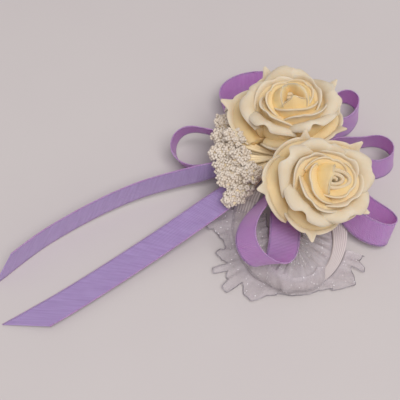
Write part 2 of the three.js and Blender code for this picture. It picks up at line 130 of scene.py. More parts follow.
def soft_step(low, high, x):
    """0 below low, 1 above high, and 3 t squared minus 2 t cubed between them."""
    t = np.clip((x - low) / (high - low), 0, 1)
    return t * t * (3 - 2 * t)


def mix(a, b, share):
    """The straight mix: a where the share is 0, b where it is 1."""
    return a + (b - a) * share


def unit(vectors):
    """Each vector divided by its length."""
    return vectors / np.linalg.norm(vectors, axis=-1, keepdims=True)


def lengths_along(path):
    """The distance from the path's start to each of its points."""
    steps = np.linalg.norm(np.diff(path, axis=0), axis=-1)
    return np.concatenate([[0], np.cumsum(steps)])


def read_along(at, reach, points):
    """The points' three coordinates, read off straight between neighbours at other distances."""
    return np.stack([np.interp(at, reach, points[:, k]) for k in range(3)], -1)


print("soft_step(0, 1, 0.25) =", float(soft_step(0, 1, 0.25)))

# %% [markdown]
# ## From a grid to a closed shell
# Cloth and foam have two faces and a rim. A shell starts as a middle surface on a grid of u and v.
# Half the thickness along the normal gives the two faces, and one band of quads round the border
# closes the rim. Solidify could do the same, but here the thickness may change over the surface,
# which is how petals get thin round edges and elastic gets its ribs.
# Each point also carries three numbers called "cloth", which the finishes read later.

# %% A closed shell from a middle surface
Shell = namedtuple("Shell", "points quads caps cloth finish")


def sheet_shell(middle, thickness, cloth, finish=0):
    """Two faces at plus and minus half the thickness along the normal, joined by a rim of quads."""
    along_u, along_v = np.gradient(middle, axis=(0, 1))
    normal = unit(np.cross(along_u, along_v))
    half = np.broadcast_to(thickness, middle.shape[:2])[..., None] / 2
    above = (middle + normal * half).reshape(-1, 3)
    under = (middle - normal * half).reshape(-1, 3)
    rows, columns = middle.shape[:2]
    index = np.arange(rows * columns).reshape(rows, columns)
    corners = [index[:-1, :-1], index[1:, :-1], index[1:, 1:], index[:-1, 1:]]
    front = np.stack(corners, -1).reshape(-1, 4)
    border = np.concatenate([index[:-1, 0], index[-1, :-1], index[:0:-1, -1], index[0, :0:-1]])
    ahead = np.roll(border, -1)
    below = rows * columns
    rim = np.stack([ahead, border, border + below, ahead + below], -1)
    quads = np.concatenate([front, front[:, ::-1] + below, rim])
    cloth = np.concatenate([cloth.reshape(-1, 3)] * 2)
    return Shell(np.concatenate([above, under]), quads, [], cloth, finish)


# %% A closed shell from rings
def ring_shell(rings, cloth, finish=0):
    """Rings of points one after the other, joined by quads and closed by a flat cap at each end."""
    count, around = rings.shape[:2]
    index = np.arange(count * around).reshape(count, around)
    beside = np.roll(index, -1, axis=1)
    quads = np.stack([index[:-1], beside[:-1], beside[1:], index[1:]], -1).reshape(-1, 4)
    caps = [index[0, ::-1], index[-1]]
    return Shell(rings.reshape(-1, 3), quads, caps, cloth.reshape(-1, 3), finish)


def tube(path, radius, sides, guide, finish=0):
    """A circle of the given radius carried along a path; the guide keeps the circle from turning."""
    tangent = unit(np.gradient(path, axis=0))
    aside = unit(np.cross(np.broadcast_to(guide, path.shape), tangent))
    above = np.cross(tangent, aside)
    angle = np.linspace(0, 2 * np.pi, sides, endpoint=False)[None, :, None]
    spread = np.broadcast_to(radius, len(path))[:, None, None]
    rings = path[:, None] + spread * (np.cos(angle) * aside[:, None] + np.sin(angle) * above[:, None])
    cloth = np.zeros(rings.shape)
    cloth[..., 0] = lengths_along(path)[:, None]
    cloth[..., 1] = angle[..., 0] / (2 * np.pi)
    return ring_shell(rings, cloth, finish)


def turned(profile, sides, finish=0):
    """A profile of radius and height turned once round the Z axis."""
    profile = np.asarray(profile, float)
    angle = np.linspace(0, 2 * np.pi, sides, endpoint=False)
    radius = profile[:, :1]
    level = np.broadcast_to(profile[:, 1:], (len(profile), sides))
    rings = np.stack([radius * np.cos(angle), radius * np.sin(angle), level], -1)
    cloth = np.stack([np.broadcast_to(radius, level.shape), np.broadcast_to(angle, level.shape), level], -1)
    return ring_shell(rings, cloth, finish)


print("shells: sheet_shell, ring_shell, tube, turned")

# %% [markdown]
# ## From shells to a piece
# One mesh object takes any number of shells. Its object stays at the origin, unturned, and its place
# is in its points, as with the solids of the frame.

# %% A mesh object from shells
def new_piece(name, shells, finishes):
    """Stacks the shells into one smooth-shaded mesh in metres and gives it its finishes."""
    starts = np.cumsum([0] + [len(shell.points) for shell in shells[:-1]])
    points = np.concatenate([shell.points for shell in shells]) * MM
    faces = []
    finish = []
    for shell, start in zip(shells, starts):
        faces += (shell.quads + start).tolist() + [(cap + start).tolist() for cap in shell.caps]
        finish += [shell.finish] * (len(shell.quads) + len(shell.caps))
    mesh = bpy.data.meshes.new(name)
    mesh.from_pydata(points.tolist(), [], faces)
    mesh.polygons.foreach_set("use_smooth", np.ones(len(faces), bool))
    mesh.polygons.foreach_set("material_index", finish)
    cloth = mesh.attributes.new("cloth", "FLOAT_VECTOR", "POINT")
    cloth.data.foreach_set("vector", np.concatenate([shell.cloth for shell in shells]).ravel())
    for material in finishes:
        mesh.materials.append(material)
    mesh.update()
    piece = bpy.data.objects.new(name, mesh)
    bpy.context.scene.collection.objects.link(piece)
    print(f"{name}: {len(points)} points, {len(faces)} faces")
    return piece


# %% [markdown]
# ## Shared effects for the finishes
# Three effects come back in several finishes, so each is a node group with named sockets. Mottle
# mixes two colours by a cloudy noise, lets the roughness follow the same clouds and gives a fine
# grain height. Ribs turns a distance into a row of threads. Border says how near a point is to the
# two edges of a strip.

# %% Node group tools
FLOAT = "NodeSocketFloat"
VECTOR = "NodeSocketVector"
COLOUR = "NodeSocketColor"


def new_group(name, inputs, outputs):
    """An empty shader group with typed, named sockets and its two end nodes."""
    group = bpy.data.node_groups.new(name, "ShaderNodeTree")
    for label, kind in inputs.items():
        group.interface.new_socket(name=label, in_out="INPUT", socket_type=kind)
    for label, kind in outputs.items():
        group.interface.new_socket(name=label, in_out="OUTPUT", socket_type=kind)
    return group, group.nodes.new("NodeGroupInput"), group.nodes.new("NodeGroupOutput")


def add_node(tree, kind, links=None, values=None, **settings):
    """A node with its settings, its constant inputs and its incoming links in one call."""
    node = tree.nodes.new(kind)
    for key, value in settings.items():
        setattr(node, key, value)
    for key, value in (values or {}).items():
        node.inputs[key].default_value = value
    for key, source in (links or {}).items():
        tree.links.new(source, node.inputs[key])
    return node


def add_math(tree, operation, first, second=None, clamp=False):
    """A Math node; each operand is a number or an output socket."""
    node = tree.nodes.new("ShaderNodeMath")
    node.operation = operation
    node.use_clamp = clamp
    for place, operand in enumerate([first, second]):
        if isinstance(operand, (int, float)):
            node.inputs[place].default_value = operand
        elif operand is not None:
            tree.links.new(operand, node.inputs[place])
    return node.outputs[0]


print("node tools: new_group, add_node, add_math")

# %% The Mottle group
GRAIN_TO_CLOUD = 7.0
CLOUD_SPAN = {"From Min": 0.25, "From Max": 0.75}
MOTTLE, start, end = new_group(
    "Mottle",
    {"Place": VECTOR, "Scale": FLOAT, "Dark": COLOUR, "Light": COLOUR, "Smooth": FLOAT, "Rough": FLOAT},
    {"Colour": COLOUR, "Roughness": FLOAT, "Height": FLOAT},
)
clouds = add_node(MOTTLE, "ShaderNodeTexNoise", {
    "Vector": start.outputs["Place"],
    "Scale": start.outputs["Scale"],
}, {"Detail": 3.0, "Roughness": 0.55})
fine = add_node(MOTTLE, "ShaderNodeTexNoise", {
    "Vector": start.outputs["Place"],
    "Scale": add_math(MOTTLE, "MULTIPLY", start.outputs["Scale"], GRAIN_TO_CLOUD),
}, {"Detail": 2.0})
share = add_node(MOTTLE, "ShaderNodeMapRange", {"Value": clouds.outputs["Fac"]}, CLOUD_SPAN)
blend = add_node(MOTTLE, "ShaderNodeMix", {
    "Factor": share.outputs["Result"],
    "A": start.outputs["Dark"],
    "B": start.outputs["Light"],
}, data_type="RGBA")
worn = add_node(MOTTLE, "ShaderNodeMapRange", {
    "Value": clouds.outputs["Fac"],
    "To Min": start.outputs["Smooth"],
    "To Max": start.outputs["Rough"],
}, CLOUD_SPAN)
MOTTLE.links.new(blend.outputs["Result"], end.inputs["Colour"])
MOTTLE.links.new(worn.outputs["Result"], end.inputs["Roughness"])
MOTTLE.links.new(fine.outputs["Fac"], end.inputs["Height"])
print("group:", MOTTLE.name)

# %% The Ribs and Border groups
RIBS, start, end = new_group("Ribs", {"Distance": FLOAT, "Pitch": FLOAT}, {"Height": FLOAT})
turns = add_math(RIBS, "DIVIDE", start.outputs["Distance"], start.outputs["Pitch"])
wave = add_math(RIBS, "COSINE", add_math(RIBS, "MULTIPLY", turns, 2 * np.pi))
height = add_math(RIBS, "MULTIPLY", add_math(RIBS, "ADD", wave, 1.0), 0.5)
RIBS.links.new(height, end.inputs["Height"])

BORDER, start, end = new_group("Border", {"Across": FLOAT, "From": FLOAT, "To": FLOAT}, {"Mask": FLOAT})
span = add_node(BORDER, "ShaderNodeMapRange", {
    "Value": add_math(BORDER, "ABSOLUTE", start.outputs["Across"]),
    "From Min": start.outputs["From"],
    "From Max": start.outputs["To"],
}, interpolation_type="SMOOTHSTEP")
BORDER.links.new(span.outputs["Result"], end.inputs["Mask"])
print("groups:", RIBS.name, BORDER.name)

# %% [markdown]
# ## Finishes
# Every finish is one Principled shader. What is the same all over, such as the sheen of satin, is set
# on the shader's own socket. What changes over the surface, such as the ribs of the weave, comes from
# the groups. Cloth feeds them its "cloth" numbers, millimetres along and across the strip; foam reads
# how far up its petal a point lies; small grainy pieces use their place in the object.

# %% Tools for a finish
def new_finish(name, values):
    """A material with one Principled shader, with its constant sockets set."""
    finish = bpy.data.materials.new(name)
    finish.use_nodes = True
    shader = finish.node_tree.nodes["Principled BSDF"]
    for key, value in values.items():
        shader.inputs[key].default_value = value
    return finish, finish.node_tree, shader


def use_group(tree, group, links, values=None):
    """A group placed in a material, with its own constants and links."""
    return add_node(tree, "ShaderNodeGroup", links, values, node_tree=group)


def cloth_numbers(tree):
    """The three numbers each point carries: the whole vector, and its parts."""
    carried = add_node(tree, "ShaderNodeAttribute", attribute_name="cloth")
    parts = add_node(tree, "ShaderNodeSeparateXYZ", {"Vector": carried.outputs["Vector"]})
    return carried.outputs["Vector"], parts.outputs["X"], parts.outputs["Y"], parts.outputs["Z"]


def object_place(tree):
    """The point's place in its object."""
    return add_node(tree, "ShaderNodeTexCoord").outputs["Object"]


def add_bump(tree, shader, height, strength, distance):
    """A Bump node from the height to the shader's normal; the distance is in metres."""
    sizes = {"Strength": strength, "Distance": distance}
    bump = add_node(tree, "ShaderNodeBump", {"Height": height}, sizes)
    tree.links.new(bump.outputs["Normal"], shader.inputs["Normal"])


def mix_colours(tree, share, first, second):
    """A colour mix; the share and the colours are constants or output sockets."""
    node = add_node(tree, "ShaderNodeMix", data_type="RGBA")
    for key, value in (("Factor", share), ("A", first), ("B", second)):
        if isinstance(value, (tuple, float, int)):
            node.inputs[key].default_value = value
        else:
            tree.links.new(value, node.inputs[key])
    return node.outputs["Result"]


print("finish tools: new_finish, use_group, cloth_numbers, add_bump, mix_colours")

# %% [markdown]
# ### Satin
# The ribbon is lavender satin with fine cross ribs and a slightly darker woven edge. A photo of the
# weave would be quick, but it repeats and holds the light of its own day. Here the ribs are a wave
# along the ribbon, and a noise stretched across it makes them uneven. Loops, tails and picot edge
# differ in how much light they scatter and in their sheen, and in colour by painted light: the loops
# are a lighter, pinker copy that paints the light coming through them, and the picot edge is lighter
# still as a painted highlight on its beads. So one recipe is used three times.

# %% Lavender satin
STREAK_STRETCH = (0.9, 0.1, 1.0)
WOVEN_EDGE = {"From": 5.0, "To": 5.7}
WOVEN_EDGE_SHARE = 0.45
WOVEN_EDGE_COLOUR = "9d7fb8"


def satin_finish(name, dark, light, rib_pitch, glow, scatter, sheen):
    """Uneven cross ribs in two lavenders, a fine even rib in the bump, and a darker woven edge."""
    sheen_weight, sheen_roughness = sheen
    finish, tree, shader = new_finish(name, {
        "Specular IOR Level": 0.35,
        "Subsurface Weight": glow,
        "Subsurface Radius": (1.0, 0.6, 0.85),
        "Subsurface Scale": scatter,
        "Sheen Weight": sheen_weight,
        "Sheen Roughness": sheen_roughness,
        "Sheen Tint": colour("efe2ff"),
    })
    whole, along, across, _ = cloth_numbers(tree)
    streaks = add_node(tree, "ShaderNodeVectorMath", {0: whole}, {1: STREAK_STRETCH}, operation="MULTIPLY")
    mottle = use_group(tree, MOTTLE, {"Place": streaks.outputs[0]}, {
        "Scale": 1.0,
        "Dark": colour(dark),
        "Light": colour(light),
        "Smooth": 0.36,
        "Rough": 0.48,
    })
    ribs = use_group(tree, RIBS, {"Distance": along}, {"Pitch": rib_pitch})
    border = use_group(tree, BORDER, {"Across": across}, WOVEN_EDGE)
    edge = add_math(tree, "MULTIPLY", border.outputs["Mask"], WOVEN_EDGE_SHARE)
    shaded = mix_colours(tree, edge, mottle.outputs["Colour"], colour(WOVEN_EDGE_COLOUR))
    tree.links.new(shaded, shader.inputs["Base Color"])
    tree.links.new(mottle.outputs["Roughness"], shader.inputs["Roughness"])
    add_bump(tree, shader, ribs.outputs["Height"], strength=0.6, distance=0.00012)
    return finish


SATIN = satin_finish("lavender_satin", "9b81b2", "b199c8",
                     rib_pitch=0.7, glow=0.35, scatter=0.001, sheen=(0.45, 0.6))
# The picot edge is painted lighter than the ribbon: a painted highlight on its beads.
PICOT = satin_finish("satin_picot_edge", "a47bad", "c8a5ce",
                     rib_pitch=0.85, glow=1.0, scatter=0.0003, sheen=(0.12, 0.35))
# The loops are painted lighter and pinker than the tails: painted light for the light through the ribbon.
SATIN_LOOP_LIT = satin_finish("lavender_satin_loop", "b188bc", "b790c2",
                          rib_pitch=0.7, glow=1.0, scatter=0.002, sheen=(0.12, 0.35))
print("finishes:", SATIN.name, SATIN_LOOP_LIT.name, PICOT.name)

# %% [markdown]
# ### Foam
# The petals are cut from thin cream foam. Their colour holds painted shade: golden at the foot of a petal,
# where shade falls deep in the rose, cream on its body and paler towards the lip. Painting would be
# handwork for every petal. A ramp up the petal does it for all of them, and a noise on top gives the
# pores. The inner petals and the bud take a warmer copy, painted for the deeper shade there.

# %% Cream foam
HEART_END = 0.55
BODY_AT = 0.8


def foam_finish(name, heart, body, lip):
    """Painted shade up a petal: golden at its foot, cream on its body and pale at its lip, with fine pores.
    """
    finish, tree, shader = new_finish(name, {
        "Specular IOR Level": 0.25,
        "Subsurface Weight": 0.4,
        "Subsurface Radius": (1.0, 0.8, 0.6),
        "Subsurface Scale": 0.0007,
    })
    _, share, _, _ = cloth_numbers(tree)
    # The ramp paints shade: the golden heart colour up to HEART_END stands for the shade deep between
    # petals.
    ramp = add_node(tree, "ShaderNodeValToRGB", {"Fac": share})
    ramp.color_ramp.elements[0].color = colour(heart)
    ramp.color_ramp.elements[0].position = HEART_END
    ramp.color_ramp.elements[1].color = colour(lip)
    ramp.color_ramp.elements.new(BODY_AT).color = colour(body)
    mottle = use_group(tree, MOTTLE, {"Place": object_place(tree)}, {
        "Scale": 160.0,
        "Dark": colour("f7f0e4"),
        "Light": colour("ffffff"),
        "Smooth": 0.74,
        "Rough": 0.9,
    })
    tinted = add_node(tree, "ShaderNodeMix", {
        "A": ramp.outputs["Color"],
        "B": mottle.outputs["Colour"],
    }, {"Factor": 1.0}, data_type="RGBA", blend_type="MULTIPLY")
    tree.links.new(tinted.outputs["Result"], shader.inputs["Base Color"])
    tree.links.new(mottle.outputs["Roughness"], shader.inputs["Roughness"])
    add_bump(tree, shader, mottle.outputs["Height"], strength=0.12, distance=0.0002)
    return finish


# The second foam is a warmer, more golden copy, painted shade for the inner petals and the bud deep in the
# rose.
FOAM = foam_finish("cream_foam", heart="efd6a2", body="dfd1b7", lip="e0d5c1")
FOAM_SHADED = foam_finish("cream_foam_shaded", heart="f1d394", body="e1ceac", lip="e2d4ba")
print("finishes:", FOAM.name, FOAM_SHADED.name)

# %% [markdown]
# ### Organza and its edge
# The ruffle is a sheer weave, dense where it is gathered and thin towards its edge. A few specks in it
# are painted near-white and opaque as glints of light, and they are also glossier. Its threads one by
# one would be millions of faces, so their cover is a number that goes to the shader's alpha. The thread
# along its edge is real; it is silver grey, light in some stretches and dark in others, and a slow
# noise along it gives those.

# %% Sheer organza
WEAVE_PITCH = 0.5
WEAVE_COVER = 0.12
CLOUD_COVER = 0.16
GATHERED_COVER = 0.3
LEAST_COVER = 0.1
SPECK_RADIUS = 0.2
SPECK_CHOICE = 0.68
CLOTH_ROUGHNESS = 0.5
SPECK_GLOSS = 0.35


def organza_finish():
    """A see-through weave: cloudy cover, denser where it is gathered, with a few specks painted bright as
    glints.
    """
    finish, tree, shader = new_finish("sheer_organza", {"Specular IOR Level": 0.5, "Sheen Weight": 0.3})
    whole, along, across, gathered = cloth_numbers(tree)
    shades = {"Scale": 0.35, "Dark": colour("000000"), "Light": colour("ffffff")}
    mottle = use_group(tree, MOTTLE, {"Place": whole}, shades)
    ribs = use_group(tree, RIBS, {"Distance": along}, {"Pitch": WEAVE_PITCH}).outputs["Height"]
    threads = use_group(tree, RIBS, {"Distance": across}, {"Pitch": WEAVE_PITCH}).outputs["Height"]
    weave = add_math(tree, "MULTIPLY", add_math(tree, "MAXIMUM", ribs, threads), WEAVE_COVER)
    cloudy = add_math(tree, "MULTIPLY", mottle.outputs["Colour"], CLOUD_COVER)
    dense = add_math(tree, "MULTIPLY", gathered, GATHERED_COVER)
    # The specks are painted glints, near-white and opaque; their lower roughness is real gloss.
    cells = add_node(tree, "ShaderNodeTexVoronoi", {"Vector": whole}, {"Scale": 0.75})
    close = add_math(tree, "LESS_THAN", cells.outputs["Distance"], SPECK_RADIUS)
    chosen = add_math(tree, "GREATER_THAN", cells.outputs["Color"], SPECK_CHOICE)
    glint_speck = add_math(tree, "MULTIPLY", close, chosen)
    cover = add_math(tree, "ADD", add_math(tree, "ADD", weave, cloudy), dense)
    cover = add_math(tree, "ADD", cover, LEAST_COVER)
    shine = add_math(tree, "MULTIPLY", glint_speck, SPECK_GLOSS)
    rough = add_math(tree, "SUBTRACT", CLOTH_ROUGHNESS, shine)
    tint = mix_colours(tree, glint_speck, colour("dad0d3"), colour("fffdfd"))
    tree.links.new(add_math(tree, "ADD", cover, glint_speck, clamp=True), shader.inputs["Alpha"])
    tree.links.new(tint, shader.inputs["Base Color"])
    tree.links.new(rough, shader.inputs["Roughness"])
    add_bump(tree, shader, ribs, strength=0.2, distance=0.0001)
    return finish


ORGANZA = organza_finish()
print("finish:", ORGANZA.name)

# %% Silver-grey edge thread
def thread_finish():
    """A tight silver-grey thread with dark stretches and its twist in the bump."""
    finish, tree, shader = new_finish("silver_edge_thread", {"Metallic": 0.25})
    whole, along, _, _ = cloth_numbers(tree)
    mottle = use_group(tree, MOTTLE, {"Place": whole}, {
        "Scale": 0.12,
        "Dark": colour("2e2a33"),
        "Light": colour("c4bcc2"),
        "Smooth": 0.3,
        "Rough": 0.5,
    })
    twist = use_group(tree, RIBS, {"Distance": along}, {"Pitch": 0.4})
    tree.links.new(mottle.outputs["Colour"], shader.inputs["Base Color"])
    tree.links.new(mottle.outputs["Roughness"], shader.inputs["Roughness"])
    add_bump(tree, shader, twist.outputs["Height"], strength=0.4, distance=0.00005)
    return finish


THREAD = thread_finish()
print("finish:", THREAD.name)

# %% [markdown]
# ### Knitted elastic
# The wristlet is knitted white elastic with seven ribs along it. The ribs themselves are modelled, so
# the finish only paints shade into the grooves between them and adds the small stitches along each rib.

# %% White knitted elastic
ELASTIC_WIDTH = 8.0
RIB_COUNT = 7
GROOVE_ROUGHNESS = 0.9
RIB_GLOSS = 0.2


def knit_finish():
    """White knitted ribs: painted shade in the grooves across the strip, small stitches along it."""
    finish, tree, shader = new_finish("white_knit_elastic", {"Sheen Weight": 0.25})
    _, along, across, _ = cloth_numbers(tree)
    groove = use_group(tree, RIBS, {"Distance": across}, {"Pitch": ELASTIC_WIDTH / RIB_COUNT})
    stitch = use_group(tree, RIBS, {"Distance": along}, {"Pitch": 0.6})
    # The darker colour in the grooves is painted shade.
    white = mix_colours(tree, groove.outputs["Height"], colour("c3b6b3"), colour("e4d9d5"))
    shine = add_math(tree, "MULTIPLY", groove.outputs["Height"], RIB_GLOSS)
    tree.links.new(white, shader.inputs["Base Color"])
    tree.links.new(add_math(tree, "SUBTRACT", GROOVE_ROUGHNESS, shine), shader.inputs["Roughness"])
    add_bump(tree, shader, stitch.outputs["Height"], strength=0.35, distance=0.0002)
    return finish


KNIT = knit_finish()
print("finish:", KNIT.name)

# %% [markdown]
# ### Small plain finishes
# Felt, beads, stalks, tape, wire and the table are matt and nearly of one colour. One recipe of two
# near colours and a grain is enough, and each finish only sets its own values.

# %% Felt, beads, stalks, tape, wire and table
ROUGHNESS_SWING = 0.05


def mottled_finish(name, dark, light, roughness, scale, strength, values=None):
    """Two near colours clouded together on object coordinates, with the grain as bump."""
    finish, tree, shader = new_finish(name, values or {})
    mottle = use_group(tree, MOTTLE, {"Place": object_place(tree)}, {
        "Scale": scale,
        "Dark": colour(dark),
        "Light": colour(light),
        "Smooth": roughness - ROUGHNESS_SWING,
        "Rough": roughness + ROUGHNESS_SWING,
    })
    tree.links.new(mottle.outputs["Colour"], shader.inputs["Base Color"])
    tree.links.new(mottle.outputs["Roughness"], shader.inputs["Roughness"])
    add_bump(tree, shader, mottle.outputs["Height"], strength, distance=0.0003)
    return finish


FELT = mottled_finish("pressed_felt", "d9cfc6", "f0e9e2", roughness=0.92, scale=420.0, strength=0.7,
                      values={"Sheen Weight": 0.4})
BEADS = mottled_finish("grainy_bead", "dbccb9", "e7ddd0", roughness=0.5, scale=260.0, strength=0.35)
STALK = mottled_finish("cream_stalk", "f4dcae", "fbeccb", roughness=0.7, scale=260.0, strength=0.3)
TAPE = mottled_finish("wax_tape", "cfc79f", "e4dec2", roughness=0.6, scale=300.0, strength=0.4)
WIRE = mottled_finish("wrapped_wire", "b9b5a4", "d9d5c6", roughness=0.55, scale=380.0, strength=0.4,
                      values={"Metallic": 0.15})
TABLE = mottled_finish("pale_table", "cbc3c1", "cec7c4", roughness=0.75, scale=9.0, strength=0.02,
                       values={"Specular IOR Level": 0.2})
print("finishes:", FELT.name, BEADS.name, STALK.name, TAPE.name, WIRE.name, TABLE.name)

# %% [markdown]
# ### The table
# The corsage lies on a plain pale table. A plain sheet far wider than the picture stands in for it,
# and it is only a stage: it rides on no body and is marked as a backdrop.

# %% The table top
TABLE_HALF = 2500.0
TABLE_THICKNESS = 1.0
TABLE_MIDDLE = -TABLE_DROP - 0.6
side = np.linspace(-TABLE_HALF, TABLE_HALF, 3)
flat = np.stack([*np.meshgrid(side, side, indexing="ij"), np.full((3, 3), TABLE_MIDDLE)], -1)
table = new_piece("table", [sheet_shell(flat, TABLE_THICKNESS, flat)], [TABLE])
table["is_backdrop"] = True

# %% [markdown]
# ## The backing
# Out of sight, a felt disc lies on the wrist, the elastic runs over it and a felt pad on top carries
# everything else. Both are punched from felt sheet. A cylinder with a bevel would do; a turned profile
# gives the soft pressed edge in one step.

# %% Cover disc and felt pad
GAP = 0.3
COVER_RADIUS = 10.5
COVER_THICKNESS = 1.2
ELASTIC_THICKNESS = 0.9
PAD_RADIUS = 11.4
PAD_THICKNESS = 1.4
ELASTIC_MIDDLE = COVER_THICKNESS + GAP + ELASTIC_THICKNESS / 2
PAD_BOTTOM = ELASTIC_MIDDLE + ELASTIC_THICKNESS / 2 + GAP
PAD_TOP = PAD_BOTTOM + PAD_THICKNESS
DISC_STEPS = 9
DISC_SIDES = 96
RIM_SHARE = 0.3
# Radius, bottom and thickness of each disc.
DISCS = {
    "cover_disc": (COVER_RADIUS, 0.0, COVER_THICKNESS),
    "felt_pad": (PAD_RADIUS, PAD_BOTTOM, PAD_THICKNESS),
}


def felt_disc(radius, bottom, thickness):
    """Flat below and above, with half an ellipse for a rim, turned round the axis."""
    bend = np.linspace(-np.pi / 2, np.pi / 2, DISC_STEPS)
    round_off = thickness * RIM_SHARE
    rim_radius = radius - round_off + round_off * np.cos(bend)
    rim_level = bottom + thickness / 2 + (thickness / 2) * np.sin(bend)
    inner = np.linspace(0.1, 0.9, DISC_STEPS) * radius
    below = np.full(DISC_STEPS, bottom)
    radii = np.concatenate([inner, rim_radius, inner[::-1]])
    levels = np.concatenate([below, rim_level, below + thickness])
    return turned(np.stack([radii, levels], -1), DISC_SIDES)


for name, sizes in DISCS.items():
    disc = new_piece(name + "_felt", [felt_disc(*sizes)], [FELT])
    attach(disc, "flowers")
    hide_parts(name)

# %% [markdown]
# ## The elastic
# The wristlet is a strip of white ribbed elastic, 8 mm wide, that runs once round an ellipse. Under
# the pad it lies flat; past the pad it drops to the table and turns on its edge. Its seven ribs are
# real: the thickness rises and falls across the strip. The strip is cut in two pieces: the back one
# under the pad, and the other round the loop.

# %% The path of the elastic
LOOP_HALF_WIDTH = 20.0
LOOP_HALF_DEPTH = 27.0
LOOP_FRONT_HEIGHT = 5.7
LOOP_FRONT_TWIST = 100.0
LOOP_DOWN = 72.0
HINGE_BACK = 7.0
HINGE_TURN = np.degrees(np.arccos(1 - HINGE_BACK / LOOP_HALF_DEPTH))


def band_frame(turn):
    """Place, outward and across directions at a turn in degrees: 0 under the pad, 180 at the front.

    The place goes round an ellipse and drops by a soft step; across turns over by another soft step.
    """
    angle = np.radians(turn)
    from_pad = np.minimum(np.abs(turn), 360 - np.abs(turn))
    dropped = soft_step(HINGE_TURN, LOOP_DOWN, from_pad)
    turned_over = soft_step(HINGE_TURN, 180, from_pad)[..., None]
    level = mix(ELASTIC_MIDDLE, LOOP_FRONT_HEIGHT - TABLE_DROP, dropped)
    right = np.sin(angle)
    back = np.cos(angle)
    place = np.stack([LOOP_HALF_WIDTH * right, LOOP_HALF_DEPTH * (back - 1), level], -1)
    out = unit(np.stack([right / LOOP_HALF_WIDTH, back / LOOP_HALF_DEPTH, 0 * angle], -1))
    twist = np.radians(LOOP_FRONT_TWIST) * turned_over
    across = out * np.cos(twist) - UP * np.sin(twist)
    return place, out, across


whole_turn = np.linspace(0, 360, 361)
print("the elastic is", round(lengths_along(band_frame(whole_turn)[0])[-1]), "mm round")

# %% Two strips of ribbed elastic
BACK_TURN = 60.0
POINTS_PER_RIB = 8
RIB_ROUNDNESS = 0.7
GROOVE_SHARE = 0.5


def elastic_strip(first, last, rows):
    """The path plus the across direction times the width, with a rib profile for a thickness."""
    columns = RIB_COUNT * POINTS_PER_RIB + 1
    turn = np.linspace(first, last, rows)
    place, _, across = band_frame(turn)
    share = np.linspace(-0.5, 0.5, columns)
    middle = place[:, None] + across[:, None] * (ELASTIC_WIDTH * share)[None, :, None]
    rib = np.abs(np.sin(np.pi * RIB_COUNT * (share + 0.5))) ** RIB_ROUNDNESS
    thickness = ELASTIC_THICKNESS * mix(GROOVE_SHARE, 1.0, rib)[None, :]
    along = np.broadcast_to(lengths_along(place)[:, None], (rows, columns))
    cloth = np.stack([along, np.broadcast_to(ELASTIC_WIDTH * share, along.shape), 0 * along], -1)
    return sheet_shell(middle, thickness, cloth)


back_strip = elastic_strip(-BACK_TURN, BACK_TURN, rows=100)
elastic_back = new_piece("elastic_back", [back_strip], [KNIT])
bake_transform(elastic_back)
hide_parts("band_glued_section")
loop_strip = elastic_strip(BACK_TURN, 360 - BACK_TURN, rows=200)
elastic_loop = new_piece("elastic_loop", [loop_strip], [KNIT])
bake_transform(elastic_loop)
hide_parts("band_side_right", "band_side_left", "band_front")

# %% [markdown]
# ## The organza ruffle
# A sheer strip is gathered along both edges of the elastic and opens into folds. Its free edges carry
# a fine grey thread that draws the folds as narrow loops. Cloth simulation would give other folds each
# time a size changes, so the folds are waves of uneven length: up and down, in and out, and sideways.

# %% How the ruffle opens
INNER_RISE = 6.0
EDGE_HEIGHT = 0.8
STEEPEST_FALL = 0.9
STEEPEST_CLIMB = 0.1
# Pairs of a turn round the elastic and the ruffle's width there.
OUTER_SPREAD = np.array([
    (106, 8), (116, 10), (132, 10), (144, 6), (154, 2.6), (192, 2.4), (204, 5), (214, 11),
    (226, 14), (240, 14), (250, 11), (259, 5), (266, 5), (274, 9), (280, 12), (284, 12),
]).T
INNER_SPREAD = np.array([
    (76, 6), (100, 10), (125, 16), (150, 18), (175, 17), (215, 14), (250, 7), (284, 5),
]).T


def ruffle_slope(side, seam, width):
    """The angle above level: the outer ruffle falls to the table within its width, the inner rises."""
    if side < 0:
        return np.full(width.shape, np.radians(INNER_RISE))
    fall = np.maximum(seam[..., 2] + TABLE_DROP - EDGE_HEIGHT, -STEEPEST_CLIMB * width) / width
    return -np.arcsin(np.minimum(fall, STEEPEST_FALL))


print("the ruffle spreads", OUTER_SPREAD[1].max(), "mm outwards and", INNER_SPREAD[1].max(), "mm inwards")

# %% Waves for the folds
RUFFLE_PITCH = 6.0
SLOW_SHIFT = 1.1
SLOW_LENGTH = 31.0
QUICK_SHIFT = 0.5
QUICK_LENGTH = 17.3


def wave_along(distance, length, phase=0):
    """A sine of the distance that comes back after the length."""
    return np.sin(2 * np.pi * distance / length + phase)


def fold_angle(distance, phase):
    """An angle that turns once per fold, hurried and held back by two longer waves."""
    even = 2 * np.pi * distance / RUFFLE_PITCH + phase
    slow = SLOW_SHIFT * wave_along(distance, SLOW_LENGTH, phase)
    return even + slow + QUICK_SHIFT * wave_along(distance, QUICK_LENGTH)


print("one fold every", RUFFLE_PITCH, "mm on average")

# %% Folds of the ruffle
SEAM_GAP = 0.6
CLOTH_THICKNESS = 0.1
CLOTH_LOWEST = 0.25 - TABLE_DROP
GATHERING = 2.2
EDGE_THREAD_RADIUS = 0.15
EDGE_THREAD_SIDES = 6
FINGER_PLACES = (118, 227, 244)
FINGER_SPREAD = 7.0
FINGER_FULL = 0.75
SHALLOW_FOLD = 0.08
DEEP_FOLD = 0.55
FOLD_HEIGHT = 2.2
FINGER_HEIGHT = 1.2
CRINKLE_HEIGHT = 0.3
CRINKLES_PER_FOLD = 2.3
FULL_HEIGHT_WIDTH = 9.0
SWAY = 1.6
SWAY_LENGTH = 27.0
SEAM_SPAN = (0, 0.5)


